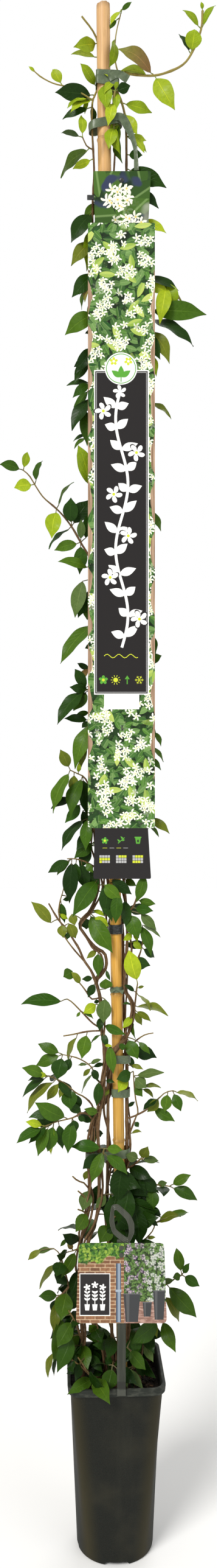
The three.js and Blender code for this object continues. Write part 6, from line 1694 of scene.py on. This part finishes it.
class Inks:
    """Thin inked shapes on a card, each a closed film with a level and a colour of its own."""

    def __init__(self, depth):
        self.depth, self.skin = depth, Skin()

    def shape(self, outline, level, tone):
        """A filled outline of (x, z) places."""
        depths = (self.depth - INK_STEP * level, self.depth + INK_SINK)
        self.skin.join([[sighted(x, z, depth) for x, z in outline] for depth in depths], flipped=True)
        self.skin.tones += [tone] * (2 * len(outline))

    def block(self, x0, x1, z0, z1, level, tone):
        self.shape([(x0, z0), (x1, z0), (x1, z1), (x0, z1)], level, tone)

    def taper(self, x, top_half, foot_half, foot, top, level, tone):
        """A block that is narrower at the foot or at the top."""
        outline = [(x - top_half, top), (x + top_half, top), (x + foot_half, foot), (x - foot_half, foot)]
        self.shape(outline, level, tone)

    def disc(self, x, z, radius, level, tone, sides=48):
        turns = [2 * math.pi * i / sides for i in range(sides)]
        self.shape([(x + radius * math.cos(a), z + radius * math.sin(a)) for a in turns], level, tone)

    def border(self, x0, x1, z0, z1, width, level, tone):
        self.block(x0, x1, z0, z0 + width, level, tone)
        self.block(x0, x1, z1 - width, z1, level, tone)
        self.block(x0, x0 + width, z0 + width, z1 - width, level, tone)
        self.block(x1 - width, x1, z0 + width, z1 - width, level, tone)

    def petals(self, x, z, radius, turn, level, tone, waist=0.22, bend=0.3):
        """A star flower of five petals that lean one way."""
        outline = []
        for i in range(40):
            angle = 2 * math.pi * i / 40
            reach = radius * (waist + (1 - waist) * abs(math.cos(angle * 2.5)) ** 0.8)
            lean = turn + angle + bend * reach / radius
            outline.append((x + reach * math.cos(lean), z + reach * math.sin(lean)))
        self.shape(outline, level, tone)

    def leaf(self, x, z, length, width, turn, level, tone):
        """A pointed leaf from its base."""
        outline = []
        for side, steps in ((1, range(9)), (-1, range(8, 0, -1))):
            for share in (i / 8 for i in steps):
                half = width / 2 * math.sin(math.pi * share ** 0.85) * side
                outline.append((x + length * share * math.cos(turn) - half * math.sin(turn),
                                z + length * share * math.sin(turn) + half * math.cos(turn)))
        self.shape(outline, level, tone)

    def line(self, places, width, level, tone):
        """A line of some width through places."""
        places = [Vector(place) for place in places]
        sides = [heading(places, k).orthogonal() * (width / 2) for k in range(len(places))]
        left = [place + side for place, side in zip(places, sides)]
        right = [place - side for place, side in zip(places, sides)]
        self.shape(left + right[::-1], level, tone)

    def spoke(self, x, z, turn, near, far, width, level, tone):
        """A short line outwards from a place."""
        out = Vector((math.cos(turn), math.sin(turn)))
        self.line([Vector((x, z)) + out * near, Vector((x, z)) + out * far], width, level, tone)

    def piece(self, name, material, slot):
        """The mesh of all the shapes."""
        made = self.skin.piece(name, material, smooth=False)
        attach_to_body(made, "root")
        return made


WHITE, PALE_GREY = (0.87, 0.87, 0.86), (0.45, 0.45, 0.45)
LEAF_GREEN, LIME = (0.10, 0.36, 0.04), (0.62, 0.68, 0.04)

skin = Finish("ink", 0.3, 0.3)
tone = mixed(skin.place.cloud(600.0) * 0.12, skin.own_tone(), (0.6, 0.58, 0.56), "MULTIPLY")
ink = skin.coloured(tone, skin.place.cloud(30.0, 2.0), 0.0006, 0.3)

PANEL, BLANK_BOX = (-27, 44, 1097, 1518), (-14, 31.6, 1078, 1096.9)
inks = Inks(LABEL_FRONT)
inks.block(*PANEL, 1, WHITE)
inks.block(*inset(PANEL, 1.4), 2, CHARCOAL)
inks.border(*inset(PANEL, 2.7), 0.7, 3, PALE_GREY)

# a climbing stem with leaves in pairs and star flowers, drawn tall in white on the dark panel
VINE_FOOT, VINE_TOP, VINE_MIDDLE, VINE_SWING = 1158, 1488, 9, 8


def drawn_vine(z):
    return VINE_MIDDLE + VINE_SWING * math.sin((z - VINE_FOOT) / 27)


inks.line([(drawn_vine(z), z) for z in range(VINE_FOOT, VINE_TOP + 1, 5)], 3.6, 3, WHITE)
for i, z in enumerate(range(VINE_FOOT + 14, VINE_TOP - 8, 27)):
    x, lean = drawn_vine(z), 0.35 if i % 2 else 0.7
    inks.leaf(x, z, 23 - 3 * (i % 3), 11, lean, 4, WHITE)
    inks.leaf(x, z, 22 - 3 * ((i + 1) % 3), 11, math.pi - 1.05 + lean, 5, WHITE)
for i, z in enumerate(range(VINE_FOOT + 28, VINE_TOP, 54)):
    x = drawn_vine(z) + (-16 if i % 2 else 16)
    inks.petals(x, z + 9, 13, 0.4 + i, 6, CHARCOAL)
    inks.petals(x, z + 9, 11.4, 0.4 + i, 7, WHITE)
    inks.disc(x, z + 9, 1.9, 8, LIME, 16)
inks.petals(drawn_vine(VINE_TOP), VINE_TOP + 2, 9, 0.2, 6, WHITE)
inks.line([(-14 + 2.2 * k, 1147 + 2.4 * math.sin(k * 0.9)) for k in range(21)], 0.9, 3, LIME)

# the round badge over the panel's top edge: a sprig and two flowers
BADGE_X, BADGE_Z, BADGE_FLOWERS = 8, 1520, ((-1.5, 0.3), (17.5, 0.9))
for radius, level, tone in ((21, 8, WHITE), (19.4, 9, LEAF_GREEN), (18.4, 10, WHITE)):
    inks.disc(BADGE_X, BADGE_Z, radius, level, tone)
for k, turn in enumerate((0.6, 1.57, 2.54)):
    inks.leaf(BADGE_X, BADGE_Z - 11, 15, 7.5, turn, 11 + k, LEAF_GREEN)
inks.line([(BADGE_X, BADGE_Z - 17), (BADGE_X, BADGE_Z - 7)], 1.2, 14, LEAF_GREEN)
for x, turn in BADGE_FLOWERS:
    inks.petals(x, BADGE_Z + 9.5, 5.4, turn, 12, LIME, 0.45, 0)
    inks.disc(x, BADGE_Z + 9.5, 1.7, 13, WHITE, 16)

# care pictures in a row, a flower, a sun, a tree and a snow crystal, and the blank box under them
CARE_LEVEL, CARE_FLOWER, CARE_SUN, CARE_TREE, CARE_SNOW = 1116, -15, 1, 16, 31.6
inks.petals(CARE_FLOWER, CARE_LEVEL, 6, 0.3, 3, LEAF_GREEN, 0.5, 0)
inks.disc(CARE_FLOWER, CARE_LEVEL, 1.9, 4, LIME, 20)
inks.disc(CARE_SUN, CARE_LEVEL, 3, 3, LIME, 24)
for k in range(10):
    inks.spoke(CARE_SUN, CARE_LEVEL, 2 * math.pi * k / 10, 4, 6.4, 0.7, 3, LIME)
inks.line([(CARE_TREE, CARE_LEVEL - 5.5), (CARE_TREE, CARE_LEVEL + 1.5)], 1.3, 3, LEAF_GREEN)
crown = ((-3.2, 1), (3.2, 1), (0, 5.8))
inks.shape([(CARE_TREE + x, CARE_LEVEL + z) for x, z in crown], 3, LEAF_GREEN)
for turn in (math.pi * k / 3 for k in range(6)):
    inks.spoke(CARE_SNOW, CARE_LEVEL, turn, 0.3, 5.6, 0.75, 3, LIME)
    for side in (-0.85, 0.85):
        x, z = CARE_SNOW + 3.1 * math.cos(turn), CARE_LEVEL + 3.1 * math.sin(turn)
        inks.spoke(x, z, turn + side, 0, 2, 0.6, 4, LIME)
inks.block(*BLANK_BOX, 1, WHITE)

# the lower tab: flower, pruning and pot pictures over three grids of months
MONTHS = [(-20, {4, 5, 6, 7, 8}), (1.5, {1, 2, 3}), (23, {1, 2, 3, 8, 9, 10})]
MONTHS_TOP, MONTH_STEP, MONTH_SIDE = 888.5, 3.5, 3
TAB_LEVEL, TAB_FLOWER, TAB_TWIG, TAB_POT, TAB_DASHES = 907.5, -13, 4, 30, 898
inks.petals(TAB_FLOWER, TAB_LEVEL, 4.6, 0.2, 2, LEAF_GREEN, 0.5, 0)
inks.disc(TAB_FLOWER, TAB_LEVEL, 1.5, 3, LIME, 16)
inks.line([(TAB_TWIG, TAB_LEVEL - 3.5), (TAB_TWIG + 8.5, TAB_LEVEL + 4)], 1.1, 2, LEAF_GREEN)
for along, turn in ((2.5, 2.4), (4.5, 0.1), (6.5, 2.3)):
    inks.leaf(TAB_TWIG + along, TAB_LEVEL - 3.5 + along * 0.88, 4.6, 2.2, turn, 3, LEAF_GREEN)
inks.taper(TAB_POT, 3.6, 2.4, TAB_LEVEL - 4, TAB_LEVEL + 3.5, 2, LEAF_GREEN)
inks.block(TAB_POT - 4.4, TAB_POT + 4.4, TAB_LEVEL + 3.5, TAB_LEVEL + 5.1, 2, LEAF_GREEN)
inks.leaf(TAB_POT, TAB_LEVEL - 2.5, 4.4, 2.2, 1.57, 3, CHARCOAL)
for left, marked in MONTHS:
    for month in range(12):
        x, z = left + MONTH_STEP * (month % 4), MONTHS_TOP - MONTH_STEP * (month // 4)
        inks.block(x, x + MONTH_SIDE, z - MONTH_SIDE, z, 2, LIME if month in marked else PALE_GREY)
for k in range(4):
    left = -16 + 9 * k
    inks.line([(left, TAB_DASHES), (left + 6, TAB_DASHES)], 0.5, 2, PALE_GREY if k % 2 else LIME)
inks.piece("label_inks", ink, "label_card")


# ---- carrier strap and picture tag ------------------------------------------------------------
# A smoky grey see-through plastic strap clips over the pot's rim and ends in a ribbed carrying
# loop. Two studs on it hold a printed card with rounded corners.

STRAP_DEPTH, STRAP_THICKNESS = -62.9, 1.4
STRAP_MIDDLE, STRAP_HALF, STRAP_TOP = 7.8, 5.4, 390
CLIP_FOOT, CLIP_BRIDGE, CLIP_LEG, CLIP_REACH, CLIP_CLEAR = 221.5, 1.5, 1.2, 12, 1.5
TAG_DEPTH, TAG_THICKNESS = -65.1, 0.7
TAG_FRONT = TAG_DEPTH - TAG_THICKNESS / 2
TAG_HOLE_X, TAG_HOLES = 8.4, (379.4, 369.9)
STUD_RADIUS, STUD_HEAD, STUD_HEIGHT = 1.8, 2.9, 0.8

# The strap's cross-section with its thickened edges: [share of half the width, distance forwards]
STRAP_SECTION = [(-1, 0.25), (-0.97, 0.75), (-0.84, 0.75), (-0.78, 0.5), (0, 0.44)]
STRAP_SECTION += [(-x, y) for x, y in STRAP_SECTION[3::-1]]
STRAP_SECTION += [(x, -0.7) for x in (1, 0.5, -0.5, -1)]

LOOP_OUTSIDE = [(-4.5, 435), (4, 436.5), (20.5, 422), (25.3, 411),
                (25.3, 398), (16.5, 381), (-3.2, 397.5), (-7.6, 413)]
LOOP_INSIDE = [(-1.2, 427.5), (2, 428.5), (14.6, 416), (17.6, 408),
               (18.2, 399), (16.6, 391.5), (1, 403.5), (-0.8, 413)]
LOOP_THICKNESS, LOOP_RIBS, LOOP_RELIEF = 2.0, 4, 0.5
CORNER_CUTS = (0.14, 0.25, 0.25)

# The tones in front of the soil, on the rim and on the loop are painted shade and painted light
SMOKY_DARK, SMOKY_LIGHT, SMOKY_SOIL_SHADE = (0.024, 0.027, 0.019), (0.052, 0.056, 0.041), (0.014, 0.014, 0.011)
SMOKY_RIM_LIGHT, SMOKY_LOOP_LIGHT = (0.072, 0.075, 0.062), (0.085, 0.092, 0.068)
# Between these heights, in metres, the plastic passes from one tone to the next
SOIL_FROM, SOIL_UP_TO = (0.2300, 0.2312), (0.2400, 0.2385)
POT_BELOW, LOOP_FROM = (0.2300, 0.2290), (0.384, 0.392)


def rounded(places):
    """A closed outline with its corners cut again and again until they are round."""
    for share in CORNER_CUTS:
        places = [(x + (next_x - x) * part, z + (next_z - z) * part)
                  for (x, z), (next_x, next_z) in zip(places, places[1:] + places[:1])
                  for part in (share, 1 - share)]
    return places


def ribbed_loop(skin):
    """The carrying loop: a flat ring with raised ribs along it."""
    across = [k / 20 for k in range(21)]
    rings = []
    for (x0, z0), (x1, z1) in zip(rounded(LOOP_OUTSIDE), rounded(LOOP_INSIDE)):
        ring = []
        for face, relief, shares in ((1, 1, across), (-1, 0.4, across[::-1])):
            for share in shares:
                rib = LOOP_RELIEF * (0.5 - 0.5 * math.cos(share * 2 * math.pi * LOOP_RIBS))
                edge = 0.35 * (2 * abs(share - 0.5)) ** 8
                depth = STRAP_DEPTH - face * (LOOP_THICKNESS / 2 + relief * rib - edge - 0.2)
                ring.append(sighted(x0 + (x1 - x0) * share, z0 + (z1 - z0) * share, depth))
        rings.append(ring)
    skin.join(rings, circle=True)


def strap_band(skin):
    """The flat strap from the rim's lip up to the loop."""
    rise = sighted(0, STRAP_TOP, STRAP_DEPTH).z - CLIP_FOOT
    levels = [0, 0.4] + [rise * k / 24 for k in range(1, 25)]
    rings = []
    for level in levels:
        z = CLIP_FOOT + level
        middle = STRAP_MIDDLE + 0.12 * math.sin(z * 0.07)
        half = STRAP_HALF if level else STRAP_HALF - 0.25
        rings.append([Vector((middle + x * half, STRAP_DEPTH - y, z)) for x, y in STRAP_SECTION])
    skin.join(rings)


carrier = Skin()
strap_band(carrier)
ribbed_loop(carrier)
leg_back = -(POT_WALL_HALF - POT_WALL) + CLIP_CLEAR + CLIP_LEG
bridge_front, bridge = STRAP_DEPTH - STRAP_THICKNESS / 2 + 0.1, POT_HEIGHT + 0.3
strap_left, strap_right = STRAP_MIDDLE - STRAP_HALF, STRAP_MIDDLE + STRAP_HALF
upright_box(carrier, strap_left, strap_right, bridge_front, leg_back, bridge, bridge + CLIP_BRIDGE)
upright_box(carrier, strap_left, strap_right, leg_back - CLIP_LEG, leg_back, bridge - CLIP_REACH, bridge + 1)
head = TAG_FRONT - 0.3
stud = [(STRAP_DEPTH, STUD_RADIUS), (head, STUD_RADIUS), (head, STUD_HEAD), (head - 0.45, STUD_HEAD)]
stud += [(head - STUD_HEIGHT, STUD_HEAD - 0.6), (head - STUD_HEIGHT - 0.1, STUD_HEAD - 1.6)]
for level in TAG_HOLES:
    hole = sighted(TAG_HOLE_X, level, TAG_DEPTH)
    turned_knob(carrier, hole.x, hole.z, stud)

# the plastic is see-through: painted shade makes it darker in front of the soil, and painted light
# makes it paler on the rim and the loop
skin = Finish("smoky_plastic", 0.3, 0.3)
height, flow = skin.place.axis("Z"), skin.place.cloud(160.0, 4.0, (1.0, 1.0, 0.08))
tone = mixed(flow.between(0.35, 0.7), SMOKY_DARK, SMOKY_LIGHT)
soil_shade = height.between(*SOIL_FROM) * height.between(*SOIL_UP_TO)
tone = mixed(soil_shade * 0.75, tone, SMOKY_SOIL_SHADE)
tone = mixed(height.between(*POT_BELOW) * 0.6, tone, SMOKY_RIM_LIGHT)
tone = mixed(height.between(*LOOP_FROM) * 0.4, tone, SMOKY_LOOP_LIGHT)
smoky_plastic = skin.coloured(tone, flow, 0.0003, 0.5)
piece = carrier.piece("carrier", smoky_plastic, crisp=35)
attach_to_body(piece, "root")
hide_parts("carrier_strap")

WALL_EDGE, PAVING_TOP, IVY_FOOT = 12, 310, 351
BRICKS = {
    "Scale": 1.0, "Brick Width": 0.0125, "Row Height": 0.0046, "Mortar Size": 0.0006, "Mortar Smooth": 0.3,
    "Color1": (0.130, 0.055, 0.026), "Color2": (0.300, 0.145, 0.070), "Mortar": (0.520, 0.370, 0.230),
}
BRICK_WEAR, IVY_SHADE, IVY_GREEN = (0.10, 0.045, 0.025), (0.010, 0.045, 0.008), (0.045, 0.150, 0.015)
IVY_LEAVES = (
    (0.0050, (0.001, 0.002, 0), 0.0034, 0.0022, (0.018, 0.075, 0.005), (0.095, 0.220, 0.014), 0.9),
    (0.0042, (0.021, 0.013, 0), 0.0028, 0.0018, (0.060, 0.160, 0.007), (0.290, 0.400, 0.045), 0.5),
)
GARDEN_SHADE, GARDEN_GREEN = (0.008, 0.018, 0.005), (0.045, 0.075, 0.017)
GARDEN_LEAVES = (
    (0.0046, (0.003, 0.001, 0), 0.0030, 0.0014, (0.014, 0.045, 0.008), (0.060, 0.140, 0.022), 0.8),
    (0.0040, (0.017, 0.019, 0), 0.0030, 0.0014, (0.030, 0.080, 0.014), (0.110, 0.200, 0.045), 0.8),
)
BLOSSOM, BLOSSOM_RADIUS, BLOSSOM_GAP = ((0.0027, (0.0, 0.0, 0)), (0.0022, (0.011, 0.007, 0))), 0.0019, 38
BLOSSOM_WHITE, BLOSSOM_LILAC, BLOSSOM_EYE = (0.52, 0.52, 0.55), (0.33, 0.15, 0.40), (0.60, 0.52, 0.25)
PAVING_DARK, PAVING_LIGHT = (0.230, 0.120, 0.090), (0.480, 0.310, 0.255)


def on_tag(x, z):
    """A place on the tag's front, in metres."""
    return sighted(x, z, TAG_FRONT) * MM


def blossom_heads(middle):
    """Where the tag's blossom stands, apart from a gap between its two colours."""
    apart = abs(middle.axis("X") - on_tag(BLOSSOM_GAP, 0).x).between(0.004, 0.010)
    return cluster(middle, 0.010, 1.0, 0.36, 0.30) * apart


card = Finish("tag_print", 0.3, 0.3)
x, z, place = laid_flat(card)
wall = place.node("TexBrick", {"Vector": place, **BRICKS}, "Color")
wall = mixed(place.cloud(330.0, 4.0).between(0.4, 0.7) * 0.4, wall, BRICK_WEAR)

# ivy hangs over the top of the wall, lower at its outer end
ivy_edge = place.cloud(80.0) * 0.024 + x * 0.16
over_wall = (z - ivy_edge).between(on_tag(0, IVY_FOOT).z, on_tag(0, IVY_FOOT + 3).z)
ivy = mixed(place.cloud(200.0).between(0.4, 0.65), IVY_SHADE, IVY_GREEN)
for layer in IVY_LEAVES:
    ivy = printed_leaves(place, ivy, *layer)
wall = mixed(over_wall, wall, ivy)

# blossom in white and lilac in front of a green garden, over a terrace of terracotta paving
garden = mixed(place.cloud(160.0, 4.0).between(0.38, 0.68), GARDEN_SHADE, GARDEN_GREEN)
for layer in GARDEN_LEAVES:
    garden = printed_leaves(place, garden, *layer)
lilac_side = x.between(on_tag(BLOSSOM_GAP + 6, 0).x, on_tag(BLOSSOM_GAP - 2, 0).x)
petal_tone = mixed(lilac_side, BLOSSOM_WHITE, BLOSSOM_LILAC)
for layer in BLOSSOM:
    garden = printed_flowers(place, garden, *layer, BLOSSOM_RADIUS, petal_tone, BLOSSOM_EYE, blossom_heads)
paving = mixed(place.cloud(260.0, 4.0, (0.5, 1.6, 1.0)).between(0.4, 0.68), PAVING_DARK, PAVING_LIGHT)
garden = mixed(z.between(on_tag(0, PAVING_TOP).z, on_tag(0, PAVING_TOP - 1).z), garden, paving)
on_wall = x.between(on_tag(WALL_EDGE, 0).x, on_tag(WALL_EDGE - 0.4, 0).x)
print_on("picture_tag", card, mixed(on_wall, garden, wall), place)

# inked on the tag: a slate with a chalk drawing, a downpipe, and planters on the terrace
PIPE_TONES = ((0.06, 0.08, 0.12), (0.15, 0.20, 0.27), (0.33, 0.39, 0.47), (0.10, 0.13, 0.18))
PIPE_CLAMP, CLAMP_TONE = (0.8, 8.6, 322, 325), (0.34, 0.40, 0.48)
PLANTER, PLANTER_LIT, PLANTER_RIM = (0.040, 0.042, 0.045), (0.085, 0.087, 0.090), (0.12, 0.12, 0.125)
SLATE, DRAWN_POTS, DRAWN_POT_TOP = (-46, -6, 291, 346), (-36, -26, -16), 306
PIPE_LEFT, PIPE_STEP, PIPE_FOOT, PIPE_TOP = 1.5, 1.6, 282.5, 359
PLANTERS = ((22, 22, 283, 320), (42, 12, 290, 309), (57.5, 16, 286, 324))
tag_inks = Inks(TAG_FRONT)
tag_inks.block(*SLATE, 1, WHITE)
tag_inks.block(*inset(SLATE, 1), 2, CHARCOAL)
for k, x in enumerate(DRAWN_POTS):
    taller = 3 * (k % 2)
    tag_inks.line([(x, DRAWN_POT_TOP), (x, DRAWN_POT_TOP + 14 + taller)], 0.9, 3, WHITE)
    for z in (DRAWN_POT_TOP + 5 + 4.6 * step for step in range(3)):
        tag_inks.leaf(x, z, 5.2, 2.5, 0.7, 4, WHITE)
        tag_inks.leaf(x, z, 5.2, 2.5, 2.44, 5, WHITE)
    tag_inks.petals(x, DRAWN_POT_TOP + 22 + taller, 4.6, 0.3 + k, 6, WHITE)
    tag_inks.taper(x, 3.4, 2.5, DRAWN_POT_TOP - 8, DRAWN_POT_TOP, 3, WHITE)
for k, tone in enumerate(PIPE_TONES):
    left = PIPE_LEFT + PIPE_STEP * k
    tag_inks.block(left, left + PIPE_STEP, PIPE_FOOT, PIPE_TOP, 3, tone)
tag_inks.block(*PIPE_CLAMP, 4, CLAMP_TONE)
for x, width, foot, top in PLANTERS:
    tag_inks.taper(x, width / 2, width * 0.36, foot, top, 3, PLANTER)
    lit = ((0.36, top), (0.14, top), (0.16, foot), (0.28, foot))
    tag_inks.shape([(x - width * share, z) for share, z in lit], 4, PLANTER_LIT)
    tag_inks.block(x - width / 2, x + width / 2, top - 1.2, top, 5, PLANTER_RIM)
tag_inks.piece("tag_inks", ink, "tag_card")
